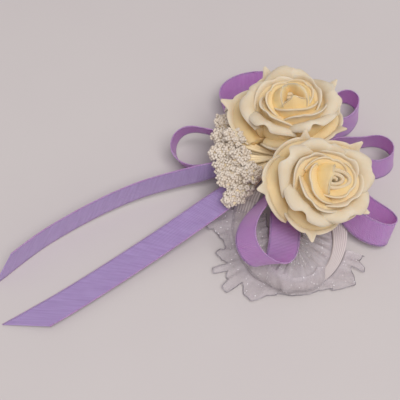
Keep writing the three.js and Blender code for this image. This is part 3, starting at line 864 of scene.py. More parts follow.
def ruffle_shells(first, last, side, rows, columns, phase):
    """From the seam outwards by the spread, plus waves in reach, height and sideways towards the edge.

    A fold is full where the cosine of the fold angle is high and cut back elsewhere: a little along
    most of the edge, and deeply at the places where it stands out in fingers.
    """
    turn = np.linspace(first, last, rows)[:, None]
    v = np.linspace(0, 1, columns)[None, :]
    place, out, across = band_frame(turn)
    distance = lengths_along(place[:, 0])[:, None]
    seam = place + across * side * (ELASTIC_WIDTH / 2 + SEAM_GAP)
    width = np.interp(turn, *(OUTER_SPREAD if side > 0 else INNER_SPREAD))
    rise = ruffle_slope(side, seam, width)
    opening = out * (side * np.cos(rise))[..., None] + UP * np.sin(rise)[..., None]
    ahead = unit(np.cross(out, UP))
    lift = unit(np.cross(ahead, opening))
    lift = lift * np.sign(lift[..., 2:])
    wave = fold_angle(distance, phase)
    finger = soft_step(0.0, FINGER_FULL, np.cos(wave))
    near = sum(np.exp(-((turn - spot) / FINGER_SPREAD) ** 2) for spot in FINGER_PLACES)
    deep = near * (side > 0)
    reach = width * (1 - v ** 1.5 * mix(SHALLOW_FOLD, DEEP_FOLD, deep) * (1 - finger))
    puff = mix(FOLD_HEIGHT, FINGER_HEIGHT, deep) * (0.5 + 0.5 * np.cos(wave)) * (1.5 - v)
    crinkle = CRINKLE_HEIGHT * np.sin(CRINKLES_PER_FOLD * wave + 3 * v)
    height = v * (puff + crinkle) * np.minimum(width / FULL_HEIGHT_WIDTH, 1)
    sideways = v ** 2 * SWAY * wave_along(distance, SWAY_LENGTH, phase) * finger
    middle = seam + opening * (reach * v)[..., None] + lift * height[..., None]
    middle = middle + ahead * sideways[..., None]
    middle[..., 2] = np.maximum(middle[..., 2], CLOTH_LOWEST)
    gathered = 1 - soft_step(*SEAM_SPAN, v) + 0 * turn
    cloth = np.stack([GATHERING * distance + 0 * v, reach * v, gathered], -1)
    sheet = sheet_shell(middle, CLOTH_THICKNESS, cloth)
    edge = tube(middle[:, -1], EDGE_THREAD_RADIUS, EDGE_THREAD_SIDES, lift[:, 0], finish=1)
    return [sheet, edge]


# %% The part over the elastic
COVER_REACH = 1.45
COVER_GAP = 0.5
COVER_BULGE = 1.7
COVER_FOLD = 0.5
COVER_PITCH = 7.3
COVER_SHIFT = 1.2
COVER_SHIFT_LENGTH = 19.0
COVER_LEAN = 0.8
COVER_SLOW_LENGTH = 13.0
COVER_RUN_IN = 10.0
COVER_HALF_WIDTH = 5.0
COVER_GATHERED = 0.35


def ruffle_cover(first, last, rows, columns):
    """Between its gathered edges the strip stands off the elastic: a bow across, with folds along it."""
    turn = np.linspace(first, last, rows)[:, None]
    share = np.linspace(-COVER_REACH, 1, columns)[None, :]
    place, out, across = band_frame(turn)
    distance = lengths_along(place[:, 0])[:, None]
    shifted = COVER_SHIFT * wave_along(distance, COVER_SHIFT_LENGTH)
    wave = 2 * np.pi * distance / COVER_PITCH + shifted + COVER_LEAN * share
    slow = COVER_FOLD * wave_along(distance, COVER_SLOW_LENGTH)
    stand = COVER_BULGE + COVER_FOLD * np.sin(wave) + slow
    bulge = COVER_GAP + (1 - share ** 2) * stand * soft_step(first, first + COVER_RUN_IN, turn)
    middle = place + across * (share * (ELASTIC_WIDTH / 2 + SEAM_GAP))[..., None] + out * bulge[..., None]
    middle[..., 2] = np.maximum(middle[..., 2], CLOTH_LOWEST)
    along = GATHERING * distance + 0 * share
    cloth = np.stack([along, COVER_HALF_WIDTH * share + 0 * turn, COVER_GATHERED + 0 * along], -1)
    return sheet_shell(middle, CLOTH_THICKNESS, cloth)


# %% One gathered strip
outer = ruffle_shells(first=106, last=290, side=1, rows=900, columns=15, phase=0.4)
inner = ruffle_shells(first=76, last=290, side=-1, rows=760, columns=13, phase=2.1)
cover = ruffle_cover(first=143.0, last=298, rows=440, columns=19)
ruffle = new_piece("organza_ruffle", outer + inner + [cover], [ORGANZA, THREAD])
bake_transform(ruffle)
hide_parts("ruffle_outer_right", "ruffle_outer_front", "ruffle_outer_left",
            "ruffle_inner_right", "ruffle_inner_front", "ruffle_inner_left")
print("thread on the outer ruffle's edge:", round(outer[1].cloth[:, 0].max()), "mm long")

# %% [markdown]
# ## The bow
# Six loops and two tails of 12 mm satin ribbon leave a bound knot. A loop is half of a figure eight,
# pinched into pleats where it meets the knot. The ribbon has a picot edge, a row of tiny woven beads,
# and these are real: a thin tube along each edge whose radius swells once for every bead.

# %% Ribbon from a middle surface
RIBBON_WIDTH = 12.0
RIBBON_THICKNESS = 0.36
RIBBON_COLUMNS = 17
PICOT_PITCH = 0.9
PICOT_RADIUS = 0.36
PICOT_NECK = 0.3
PICOT_STEPS = 6
PICOT_SIDES = 6


def ribbon_shells(middle, normal):
    """A thin sheet with a beaded tube along each edge; a bead's radius is a half wave of its pitch."""
    distance = lengths_along(middle[:, middle.shape[1] // 2])
    share = np.linspace(-0.5, 0.5, middle.shape[1])
    along = np.broadcast_to(distance[:, None], middle.shape[:2])
    cloth = np.stack([along, np.broadcast_to(RIBBON_WIDTH * share, along.shape), 0 * along], -1)
    shells = [sheet_shell(middle, RIBBON_THICKNESS, cloth)]
    for column in (0, -1):
        rim = middle[:, column]
        reach = lengths_along(rim)
        fine = np.linspace(0, reach[-1], int(reach[-1] / PICOT_PITCH * PICOT_STEPS))
        bead = PICOT_RADIUS * mix(PICOT_NECK, 1.0, np.abs(np.sin(np.pi * fine / PICOT_PITCH)))
        path = read_along(fine, reach, rim)
        guide = read_along(fine, reach, normal)
        shells.append(tube(path, bead, PICOT_SIDES, guide, finish=1))
    return shells, distance[-1]


print("picot beads per centimetre of ribbon:", round(10 / PICOT_PITCH))

# %% Sizes of the loops
KNOT_RADIUS = 6.0
KNOT_HEIGHT = 6.0
KNOT_BOTTOM = PAD_TOP + GAP
KNOT_MIDDLE = KNOT_BOTTOM + KNOT_HEIGHT / 2
KNOT_TOP = KNOT_BOTTOM + KNOT_HEIGHT
ROOT_RADIUS = KNOT_RADIUS + GAP
ROOT_WIDTH = 0.38
ROOT_SPREAD = 0.9
LOOP_PEAK = 0.77
LOOP_ROWS = 240
BOW_REACH = 60.0
# The reach is a share of BOW_REACH and the height is above the table. A roll of 90 degrees stands the
# ribbon on its edge.
LOOPS = {
    "upper_left": dict(azimuth=107, reach=0.95, opening=14.5, roll=90, lean=-12, height=6),
    "left": dict(azimuth=162, reach=0.867, opening=8.5, roll=118, lean=0, height=9.5),
    "upper_right": dict(azimuth=54, reach=0.92, opening=7, roll=85, lean=10, height=6.7),
    "right": dict(azimuth=16.5, reach=0.817, opening=7.5, roll=85, lean=10, height=6.7),
    "lower_right": dict(azimuth=-37, reach=0.85, opening=6.3, roll=110, lean=0, height=8.4, sag=0.4),
    "lower_centre": dict(azimuth=-107, reach=0.88, opening=9.5, roll=-52, lean=0, height=20,
                         sag=0.3, twist=55),
}
print("loops:", ", ".join(LOOPS))

# %% Six loops
PLEAT_DEPTH = 0.3
PLEAT_HALF_WAVES = 5
# Each span is where a change starts and ends on the way from the knot to the loop's tip.
DROP_SPAN = (0.24, 0.8)
LEAN_SPAN = (0, 0.5)
WIDEN_SPAN = (0.12, 0.42)
PLEAT_SPAN = (0.1, 0.5)
RETURN_SPAN = (np.pi / 2, np.pi * 0.8)


def pleats(v):
    """Two and a half waves across the ribbon."""
    return PLEAT_DEPTH * np.sin(PLEAT_HALF_WAVES * np.pi * v)


def bow_loop(azimuth, reach, opening, roll, lean, height, sag=0, twist=0):
    """Outwards by the reach, sideways by sin 2t sin t times the opening, then across by the width.

    The pleats and the narrow root fade out with the distance from the knot.
    """
    angle = np.radians(azimuth)
    tip = np.radians(roll)
    outward = np.array([np.cos(angle), np.sin(angle), 0])
    aside = np.array([-outward[1], outward[0], 0])
    spread = UP * np.cos(tip) + aside * np.sin(tip)
    wide = np.cross(outward, spread)
    start = np.sqrt(ROOT_SPREAD * LOOP_PEAK / opening / 2)
    t = np.linspace(start, np.pi - start, LOOP_ROWS)
    share = np.maximum(0, (np.sin(t) - np.sin(start)) / (1 - np.sin(start)))
    drop = mix(KNOT_MIDDLE, height - TABLE_DROP, soft_step(*DROP_SPAN, share))
    level = drop - sag * np.sin(np.pi * share) ** 2
    place = outward * mix(ROOT_RADIUS, reach * BOW_REACH, share)[:, None] + UP * level[:, None]
    place = place + spread * (opening / LOOP_PEAK * np.sin(2 * t) * np.sin(t))[:, None]
    ahead = unit(np.gradient(place, axis=0))
    outside = unit(np.cross(wide, ahead))
    returning = twist * soft_step(*RETURN_SPAN, t)
    tilt = np.radians((lean + returning) * soft_step(*LEAN_SPAN, share))[:, None]
    across = wide * np.cos(tilt) - outside * np.sin(tilt)
    width = RIBBON_WIDTH * mix(ROOT_WIDTH, 1, soft_step(*WIDEN_SPAN, share))
    v = np.linspace(-0.5, 0.5, RIBBON_COLUMNS)
    middle = place[:, None] + across[:, None] * (width[:, None] * v)[..., None]
    pleat = pleats(v)[None, :] * (1 - soft_step(*PLEAT_SPAN, share))[:, None]
    return middle + outside[:, None] * pleat[..., None], outside


for place, sizes in LOOPS.items():
    middle, outside = bow_loop(**sizes)
    shells, length = ribbon_shells(middle, outside)
    loop = new_piece("satin_loop_" + place, shells, [SATIN_LOOP_LIT, PICOT])
    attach(loop, "flowers")
    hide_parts("bow_loop_" + place)

# %% [markdown]
# ## The tails
# The two tails are longer than the loops. Each follows one smooth curve from the knot down to the
# table, turns from its edge to its own lean on the way, and ends in a slanting cut. A tail is one
# mesh.

# %% A smooth curve through points
CURVE_STEPS = 80


def curve_through(spots, samples):
    """A centripetal Catmull-Rom curve through the spots, sampled evenly along its length."""
    spots = np.asarray(spots, float)
    before_first = 2 * spots[0] - spots[1]
    after_last = 2 * spots[-1] - spots[-2]
    spots = np.concatenate([[before_first], spots, [after_last]])
    knot = np.linalg.norm(np.diff(spots, axis=0), axis=-1) ** 0.5
    pieces = []
    t = np.linspace(0, 1, CURVE_STEPS, endpoint=False)[:, None]
    for k in range(1, len(spots) - 2):
        before, here, after, later = spots[k - 1:k + 3]
        d0, d1, d2 = knot[k - 1:k + 2]
        out_slope = ((here - before) / d0 - (after - before) / (d0 + d1) + (after - here) / d1) * d1
        in_slope = ((after - here) / d1 - (later - here) / (d1 + d2) + (later - after) / d2) * d1
        bend = -3 * here + 3 * after - 2 * out_slope - in_slope
        twist = 2 * here - 2 * after + out_slope + in_slope
        pieces.append(here + out_slope * t + bend * t ** 2 + twist * t ** 3)
    dense = np.concatenate([*pieces, spots[-2][None]])
    reach = lengths_along(dense)
    return read_along(np.linspace(0, reach[-1], samples), reach, dense), reach[-1]


print("a quarter turn of radius 1 is", round(curve_through([(1, 0, 0), (0.7, 0.7, 0), (0, 1, 0)], 9)[1], 2))

# %% Where the tails go
TAIL_REACH = 121.4
# Points are shares of TAIL_REACH and heights above the table; the slant of the cut is in mm.
TAILS = {
    "upper": dict(
        root=(-ROOT_RADIUS - GAP, -0.6),
        points=[(-0.1565, 0.0016, 15.2), (-0.2965, -0.0154, 12), (-0.556, -0.0913, 9.2),
                (-0.8229, -0.2499, 6.9), (-1, -0.4168, 6.4)],
        tilt=92, slant=-11),
    "lower": dict(
        root=(-ROOT_RADIUS * 0.92 - GAP, -2.9),
        points=[(-0.14, -0.0708, 15.2), (-0.2636, -0.145, 10), (-0.4843, -0.2932, 3.8),
                (-0.7438, -0.4811, 1.8), (-0.9275, -0.6046, 1.4)],
        tilt=-8, slant=15),
}
print("tails:", ", ".join(TAILS))

# %% Two tails
TAIL_SAMPLES = 600
TAIL_ROWS = 300
TAIL_HINGE = 0.27
TAIL_LEAN_SPAN = (0, 0.25)
TAIL_WIDEN_SPAN = (0.06, 0.26)
TAIL_PLEAT_SPAN = (0.05, 0.25)


def tail_surface(root, points, tilt, slant):
    """The curve plus the across direction times the width; the far end is cut along a slant."""
    spots = [(root[0], root[1], KNOT_MIDDLE)]
    spots += [(x * TAIL_REACH, y * TAIL_REACH, height - TABLE_DROP) for x, y, height in points]
    path, length = curve_through(spots, TAIL_SAMPLES)
    v = np.linspace(-0.5, 0.5, RIBBON_COLUMNS)[None, :]
    cut = abs(slant) / length * (0.5 - np.sign(slant) * v)
    along = np.linspace(0, 1, TAIL_ROWS)[:, None] * (1 - cut)
    steps = np.linspace(0, 1, TAIL_SAMPLES)
    place = read_along(along, steps, path)
    tangent = unit(np.gradient(path, axis=0))
    ahead = unit(read_along(along, steps, tangent))
    level = unit(np.cross(ahead, UP))
    raised = np.cross(level, ahead)
    lean = np.radians(mix(90, tilt, soft_step(*TAIL_LEAN_SPAN, along)))[..., None]
    across = level * np.cos(lean) + raised * np.sin(lean)
    width = RIBBON_WIDTH * mix(ROOT_WIDTH, 1, soft_step(*TAIL_WIDEN_SPAN, along))
    middle = place + across * (width * v)[..., None]
    normal = np.cross(ahead, across)
    pleat = pleats(v) * (1 - soft_step(*TAIL_PLEAT_SPAN, along))
    middle = middle + normal * pleat[..., None]
    hinge_at = int(TAIL_HINGE * (TAIL_SAMPLES - 1))
    return middle, normal[:, RIBBON_COLUMNS // 2], length, path[hinge_at], tangent[hinge_at]


for place, sizes in TAILS.items():
    middle, normal, length, hinge, heading = tail_surface(**sizes)
    shells, _ = ribbon_shells(middle, normal)
    tail = new_piece("satin_tail_" + place, shells, [SATIN, PICOT])
    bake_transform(tail)
    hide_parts(f"tail_{place}_root", f"tail_{place}_free")

# %% [markdown]
# ## The knot
# The knot is a stack of ribbon turns bound together under the flowers. A turned profile with soft
# pleats round it is enough, since only its side shows between the loops.

# %% A bound knot
KNOT_SIDES = 96
KNOT_END_RINGS = 5
KNOT_SIDE_RINGS = 15
KNOT_EYE = 0.15
KNOT_WAIST = 0.86
KNOT_BULGE = 0.12
KNOT_PLEATS = 14
KNOT_PLEAT_DEPTH = 0.02
KNOT_PLEAT_LEAN = 6
bend = np.linspace(0, 1, 2 * KNOT_END_RINGS + KNOT_SIDE_RINGS)
around = np.linspace(0, 2 * np.pi, KNOT_SIDES, endpoint=False)
bulge = KNOT_RADIUS * (KNOT_WAIST + KNOT_BULGE * np.abs(np.sin(2 * np.pi * bend)) ** 0.5)
opening = np.linspace(KNOT_EYE, 1, KNOT_END_RINGS + 1)[:-1]
closing = np.linspace(1, KNOT_EYE, KNOT_END_RINGS + 1)[1:]
ends = np.concatenate([opening, np.ones(KNOT_SIDE_RINGS), closing])
side_levels = np.linspace(0, 1, KNOT_SIDE_RINGS)
height = np.concatenate([np.zeros(KNOT_END_RINGS), side_levels, np.ones(KNOT_END_RINGS)])
pleat = 1 + KNOT_PLEAT_DEPTH * np.cos(KNOT_PLEATS * around + KNOT_PLEAT_LEAN * bend[:, None])
radius = (bulge * ends)[:, None] * pleat
level = np.broadcast_to(KNOT_BOTTOM + KNOT_HEIGHT * height[:, None], radius.shape)
rings = np.stack([radius * np.cos(around), radius * np.sin(around), level], -1)
along = np.broadcast_to(KNOT_RADIUS * around, radius.shape)
cloth = np.stack([along, level - KNOT_MIDDLE, 0 * radius], -1)
knot = new_piece("bow_knot_wrap", [ring_shell(rings, cloth)], [SATIN])
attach(knot, "flowers")
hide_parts("bow_knot")

# %% [markdown]
# ## The roses
# A foam rose is a stack of die-cut layers on a wire: five pointed petals lowest, then five, four and
# three, and a rolled bud with petals folded over it. A petal could be sculpted; here it is a strip of
# a cup, so that every layer comes from one formula. Its middle line is a cubic curve of radius and
# height, carried round the axis. One side lies outside its neighbour and one inside, the lip rolls
# outwards, and the lowest petals are pinched to a spike. A rose is pressed flat on the side that
# meets the other rose, and its upper layers are drawn in a little on the far side.

# %% Layers of a rose
ROSE_DIAMETER = 48.0
ROSE_LIFT = 5.9
ROSE_BASE = KNOT_TOP + ROSE_LIFT
# The cup is four points of radius and height, in rose diameters, as are spike, roll and overlap. Half
# is half a petal's angle, corner and round cut its corners, and draw pulls its far side in.
LAYERS = {
    "lowest": dict(count=5, foam=1.1, draw=0.0, half=45, corner=0.36, round=1.3,
                   spike=0.12, roll=0.07, curl=45, overlap=0.02,
                   cup=[(0.034, -0.008), (0.37, -0.03), (0.4, 0.1), (0.455, 0.165)]),
    "outer": dict(count=5, foam=1.1, draw=0.07, half=50, corner=0.24, round=2.0,
                  spike=0.045, roll=0.074, curl=140, overlap=0.034,
                  cup=[(0.034, 0.038), (0.37, 0.03), (0.285, 0.2), (0.292, 0.32)]),
    "middle": dict(count=4, foam=0.8, draw=0.07, half=62, corner=0.2, round=2.2,
                   spike=0.02, roll=0.06, curl=58, overlap=0.036,
                   cup=[(0.034, 0.08), (0.33, 0.07), (0.245, 0.27), (0.258, 0.39)]),
    "inner": dict(count=3, foam=0.8, draw=0.07, half=80, corner=0.14, round=2.2,
                  spike=0.0, roll=0.045, curl=40, overlap=0.03,
                  cup=[(0.034, 0.126), (0.25, 0.12), (0.175, 0.3), (0.192, 0.44)]),
}
print("petals in a rose:", sum(layer["count"] for layer in LAYERS.values()))

# %% The lip of a petal
PINCH_WIDTH = 0.13
PINCH_HOLD = 0.45
LIP_FADE = 0.6
LIP_WAVE = 0.12
SPIKE_TAPER = 1.1
SPIKE_START = 1.5
LIP_WAVES = 4
LIP_TONE = 9


def cubic(points, t):
    """The cubic curve with four control points, and its direction."""
    a, b, c, d = (np.array(p) for p in points)
    t = t[..., None]
    s = 1 - t
    here = s ** 3 * a + 3 * s ** 2 * t * b + 3 * s * t ** 2 * c + t ** 3 * d
    ahead = s ** 2 * (b - a) + 2 * s * t * (c - b) + t ** 2 * (d - c)
    return here, unit(ahead)


def pinched(side):
    """A bell curve: 1 at the middle of the petal, 0 away from it."""
    return np.exp(-(side / PINCH_WIDTH) ** 2)


def petal_lip(layer, side, rolling, ahead, out, tone):
    """An arc that rolls the lip outwards, uneven along it, and a spike where the middle is pinched."""
    uneven = 1 + LIP_WAVE * np.cos(LIP_WAVES * side + LIP_TONE * tone)
    roll = layer["roll"] * (1 - LIP_FADE * side ** 2) * uneven
    turn = np.radians(layer["curl"]) * rolling * (1 - PINCH_HOLD * pinched(side))
    lip = (roll * np.sin(turn))[..., None] * ahead + (roll * (1 - np.cos(turn)))[..., None] * out
    taper = np.maximum(0, 1 - np.abs(side) / PINCH_WIDTH) ** SPIKE_TAPER
    point = layer["spike"] * taper * rolling ** SPIKE_START
    return lip + point[..., None] * (np.cos(turn)[..., None] * ahead + np.sin(turn)[..., None] * out)


print("the pinch is half as strong at", round(PINCH_WIDTH * np.log(2) ** 0.5, 2), "of the half width")

# %% One petal
PETAL_PRESS = 0.28
BRIM = 0.66
GLUED_THICKNESS = 5.0
GLUED_FADE = 0.4
GLUED_SPAN = (0.54, 0.7)
PRESS_SPAN = (0, 0.6)
OVERLAP_SPAN = (0, 0.45)
FOOT_OVERLAP = 0.25
SWELL = 0.006
SWELL_SPAN = (0.2, 0.7)
SWELL_TONE = 20
DIMPLE = 0.012
PETAL_FOOT = 0.02
THINNEST = 0.25
EDGE_SHARPNESS = 30


def petal(layer, facing, neighbour, tone, size=1.0, rows=64, columns=40):
    """Radius and height follow the cup's cubic up to the brim and then the lip, carried round the axis.

    The sideways shift lets neighbours overlap, and the glued foot is thick so that layers join.
    """
    even = np.linspace(-1, 1, rows)[:, None]
    side = (np.sin(np.pi / 2 * even) + even) / 2
    v = np.sin(np.pi / 2 * np.linspace(PETAL_FOOT, 1, columns))[None, :]
    rising = np.minimum(v / BRIM, 1)
    rolling = np.maximum(0, (v - BRIM) / (1 - BRIM))
    here, ahead = cubic(layer["cup"], rising * (1 - layer["corner"] * np.abs(side) ** layer["round"]))
    out = np.stack([ahead[..., 1], -ahead[..., 0]], -1)
    lip = petal_lip(layer, side, rolling, ahead, out, tone)
    shift = layer["overlap"] * side * mix(FOOT_OVERLAP, 1, soft_step(*OVERLAP_SPAN, v))
    shift = shift + SWELL * np.sin(LIP_WAVES * side + SWELL_TONE * tone) * soft_step(*SWELL_SPAN, v)
    shift = shift - DIMPLE * pinched(side) * v ** 3
    glued = GLUED_THICKNESS * (1 - soft_step(*GLUED_SPAN, v)) * (1 - GLUED_FADE * side ** 2)
    here = here + lip + (shift - glued / 2 / ROSE_DIAMETER)[..., None] * out
    angle = np.radians(facing + layer["half"] * side) + 0 * v
    towards = np.cos(angle - np.radians(neighbour))
    near = np.maximum(0, towards) ** 2
    far = np.maximum(0, -towards) ** 2
    pressed = 1 - (PETAL_PRESS * near + layer["draw"] * far) * soft_step(*PRESS_SPAN, v)
    radius = here[..., 0] * pressed * ROSE_DIAMETER * size
    height = here[..., 1] * ROSE_DIAMETER
    middle = np.stack([radius * np.cos(angle), radius * np.sin(angle), height], -1)
    inside = (1 - np.abs(side) ** EDGE_SHARPNESS) * (1 - v ** EDGE_SHARPNESS)
    edge = np.sqrt(np.maximum(THINNEST, inside))
    cloth = np.stack([v + 0 * side, side + 0 * v, 0 * angle], -1)
    return sheet_shell(middle, layer["foam"] * edge + glued, cloth)


print("one petal:", len(petal(LAYERS["outer"], facing=0, neighbour=90, tone=0.5).points), "points")

# %% A rolled bud
BUD_TURNS = 2.4
BUD_INNER = 0.008
BUD_PITCH = 0.044
BUD_BOTTOM = 0.176
BUD_TOP = 0.43
BUD_RISE = 0.02
BUD_DIP = 0.012
BUD_FOOT = 0.86
BUD_FLARE = 0.006
BUD_FILL = 0.8
BUD_FILL_END = (0.96, 1.0)
BUD_FOOT_SHADE = 0.35
BUD_ROWS = 190
BUD_COLUMNS = 24
BUD_THICKNESS = 0.7
BUD_END_SHARPNESS = 60
BUD_FLATNESS = (1.3, 0.72, 1.0)
BUD_ASIDE = (0.03, -0.015, 0)


def bud(phase):
    """A strip rolled into a flattened spiral: the radius grows with every turn, and the top edge dips."""
    u = np.linspace(0, 1, BUD_ROWS)[:, None]
    v = np.sin(np.pi / 2 * np.linspace(0, 1, BUD_COLUMNS))[None, :]
    angle = np.radians(phase) + 2 * np.pi * BUD_TURNS * u + 0 * v
    radius = (BUD_INNER + BUD_PITCH * BUD_TURNS * u) * mix(BUD_FOOT, 1, v) + BUD_FLARE * v ** 6
    top = BUD_TOP + BUD_RISE * u + BUD_DIP * np.sin(2 * angle + 1)
    level = mix(BUD_BOTTOM, top, v)
    flat = np.stack([radius * np.cos(angle), radius * np.sin(angle), level], -1) * BUD_FLATNESS
    middle = (flat + np.array(BUD_ASIDE)) * ROSE_DIAMETER
    inside = (1 - np.abs(2 * u - 1) ** BUD_END_SHARPNESS) * (1 - v ** EDGE_SHARPNESS)
    edge = np.sqrt(np.maximum(THINNEST, inside))
    # The share starts at BUD_FOOT_SHADE at the bud's foot, so the foam paints golden shade there.
    cloth = np.stack([mix(BUD_FOOT_SHADE, 1, v) + 0 * u, 2 * u - 1 + 0 * v, 0 * angle], -1)
    filled = BUD_FILL * (1 - soft_step(*BUD_FILL_END, v))
    return sheet_shell(middle, BUD_THICKNESS * edge + filled, cloth)


print("one bud:", len(bud(phase=0).points), "points")

# %% Petals folded over the bud
FOLD_TONES = (0.4, 0.7, 0.1)
FOLD = dict(foam=0.8, draw=0.07, half=80, corner=0.26, round=1.8,
            spike=0.0, roll=0.02, curl=20, overlap=0.0,
            cup=[(0.034, 0.15), (0.25, 0.16), (0.22, 0.4), (0.08, 0.53)])


def folded_petals(folds, neighbour):
    """Petals that close over the bud: each has a facing, a size and a shift to the right in mm."""
    shells = []
    for tone, (facing, size, shift) in zip(FOLD_TONES, folds):
        shell = petal(FOLD, facing, neighbour, tone, size)
        shells.append(shell._replace(points=shell.points + np.array([shift, 0, 0])))
    return shells


def leaning(shells, x, y, tilt, azimuth):
    """Turns shells so that their Z axis leans by tilt towards the azimuth, and moves them to the rose."""
    lean = np.radians(tilt)
    way = np.radians(azimuth)
    hinge = np.array([-np.sin(way), np.cos(way), 0])
    cross = np.array([[0, 0, hinge[1]], [0, 0, -hinge[0]], [-hinge[1], hinge[0], 0]])
    turn = np.eye(3) + np.sin(lean) * cross + (1 - np.cos(lean)) * cross @ cross
    base = np.array([x, y, ROSE_BASE])
    return [shell._replace(points=shell.points @ turn.T + base) for shell in shells]


print("a folded petal closes to", FOLD["cup"][-1][0] * ROSE_DIAMETER, "mm from the axis")

# %% How the two roses stand
ROSES = {
    "rose_front": dict(x=6.4, y=-17.2, tilt=34, azimuth=-62, phase=-20, neighbour=90, landing=(3.6, -9.4),
                       points=(45, 112, 194, 265, 332), sizes=(1.04, 1.0, 1.0, 0.93, 0.91),
                       folds=[(172, 1.0, 2.6)]),
    "rose_rear": dict(x=0.2, y=10.6, tilt=6, azimuth=215, phase=48, neighbour=-90, landing=(3.4, 9.6),
                      points=(38, 111, 163, 265, 336), sizes=(0.97, 1.0, 1.1, 1.0, 0.95),
                      folds=[(165, 0.95, 0.3), (285, 0.96, 0.6), (40, 1.06, 0.4)]),
}
LAYER_TURN = 34
TURN_SCATTER = 8


def layer_petals(rose, step, layer, dice):
    """The lowest petals face where the rose says; the others stand evenly round, a few degrees off."""
    count = layer["count"]
    if step == 0:
        facings = rose["points"]
        sizes = rose["sizes"]
    else:
        even = rose["phase"] + LAYER_TURN * step + 360 * np.arange(count) / count
        facings = even + TURN_SCATTER * dice.random(count)
        sizes = np.ones(count)
    beside = rose["neighbour"]
    return [petal(layer, facing, beside, dice.random(), size) for facing, size in zip(facings, sizes)]


print("roses:", ", ".join(ROSES))

# %% The wire stem of a rose
STEM_RADIUS = 0.8
STEM_SAMPLES = 60
STEM_SIDES = 12
WRAP_PITCH = 1.2
WRAP_DEPTH = 0.06
STEM_INTO_BUD = 0.05
STEM_SEAT = 0.3
STEM_STRAIGHT = 0.6
STEM_UPRIGHT = 0.5
STEM_GUIDE = np.array([1.0, 0.2, 0.1])


def stem_shell(rose):
    """A curve from inside the bud's foot, down the rose's axis and over to its landing on the pad."""
    lean = np.radians(rose["tilt"])
    way = np.radians(rose["azimuth"])
    axis = np.array([np.sin(lean) * np.cos(way), np.sin(lean) * np.sin(way), np.cos(lean)])
    base = np.array([rose["x"], rose["y"], ROSE_BASE])
    foot = np.array([*rose["landing"], PAD_TOP + GAP + STEM_RADIUS * STEM_SEAT])
    top = base + axis * (BUD_BOTTOM - STEM_INTO_BUD) * ROSE_DIAMETER
    below = base - axis * ROSE_LIFT * STEM_STRAIGHT
    above = foot + UP * ROSE_LIFT * STEM_UPRIGHT
    path, _ = curve_through([top, below, above, foot], STEM_SAMPLES)
    turns = lengths_along(path) / WRAP_PITCH
    wrap = STEM_RADIUS * (1 - WRAP_DEPTH + WRAP_DEPTH * np.cos(2 * np.pi * turns))
    return tube(path, wrap, STEM_SIDES, STEM_GUIDE)


# %% Two roses
dice = np.random.default_rng(12)
for name, rose in ROSES.items():
    spot = {key: rose[key] for key in ("x", "y", "tilt", "azimuth")}
    for step, (layer_name, layer) in enumerate(LAYERS.items()):
        petals = layer_petals(rose, step, layer, dice)
        # The inner layer takes the warmer foam, painted shade for petals deep in the rose.
        finish, slot = (FOAM_SHADED, "foam_warm") if layer_name == "inner" else (FOAM, "foam")
        ring = new_piece(f"{name}_{layer_name}_foam", leaning(petals, **spot), [finish])
        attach(ring, "flowers")
        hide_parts(f"{name}_{layer_name}_petals")
    # The bud and its folded petals take the warmer foam too, as painted shade.
    heart_shells = [bud(rose["phase"]), *folded_petals(rose["folds"], rose["neighbour"])]
    heart = new_piece(f"{name}_rolled_bud", leaning(heart_shells, **spot), [FOAM_SHADED])
    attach(heart, "flowers")
    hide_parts(f"{name}_bud")
    stem = new_piece(f"{name}_wire", [stem_shell(rose)], [WIRE])
    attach(stem, "flowers")
    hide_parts(f"{name}_stem")

# %% [markdown]
# ## The bead spray
# Eleven sprigs fan out to the left from a taped collar. Each has three cream stalks side by side, a
# cream core and a bushy head: short twigs leave the core on a golden-angle spiral, and every twig ends
# in a cluster of grainy beads. Instances of one bead would be lighter still; here a bead has only
# twenty faces, and one array operation repeats it for a whole sprig.

# %% Beads in one array
BEAD_AROUND = 6
BEAD_ROWS = (-58.0, -20.0, 20.0, 58.0)


def bead_shell(centres, radii, finish):
    """Four rings of six points on a ball, scaled by each radius and moved to each centre."""
    rows = np.radians(BEAD_ROWS)[:, None]
    turn = np.linspace(0, 2 * np.pi, BEAD_AROUND, endpoint=False)[None, :]
    level = np.sin(rows) + 0 * turn
    ball = np.stack([np.cos(rows) * np.cos(turn), np.cos(rows) * np.sin(turn), level], -1)
    one = ring_shell(ball, ball)
    first = np.arange(len(centres)) * len(one.points)
    points = centres[:, None] + one.points[None] * radii[:, None, None]
    quads = one.quads[None] + first[:, None, None]
    caps = [cap + start for start in first for cap in one.caps]
    cloth = np.zeros((len(centres) * len(one.points), 3))
    return Shell(points.reshape(-1, 3), quads.reshape(-1, 4), caps, cloth, finish)


single = bead_shell(np.zeros((1, 3)), np.ones(1), finish=0)
print("faces of one bead:", len(single.quads) + len(single.caps))

# %% The stalks of a sprig
COLLAR_RADIUS = 2.6
COLLAR_LENGTH = 7.0
COLLAR_CENTRE = np.array([-2.5, -2.5, KNOT_TOP + GAP + COLLAR_RADIUS])
STALK_RADIUS = 1.1
STALK_SPREAD = 2.2
STALK_STEPS = 24
STALK_SAG = 1.2
STALK_STOP = 2.0
STALK_SIDES = 10
CORE_RADIUS = 2.6
CORE_STEPS = 16
STALK_FOOT = 0.6
CORE_TIP = 0.05
CORE_SPAN = (0.08, 0.9)
CORE_ROUNDNESS = 0.6


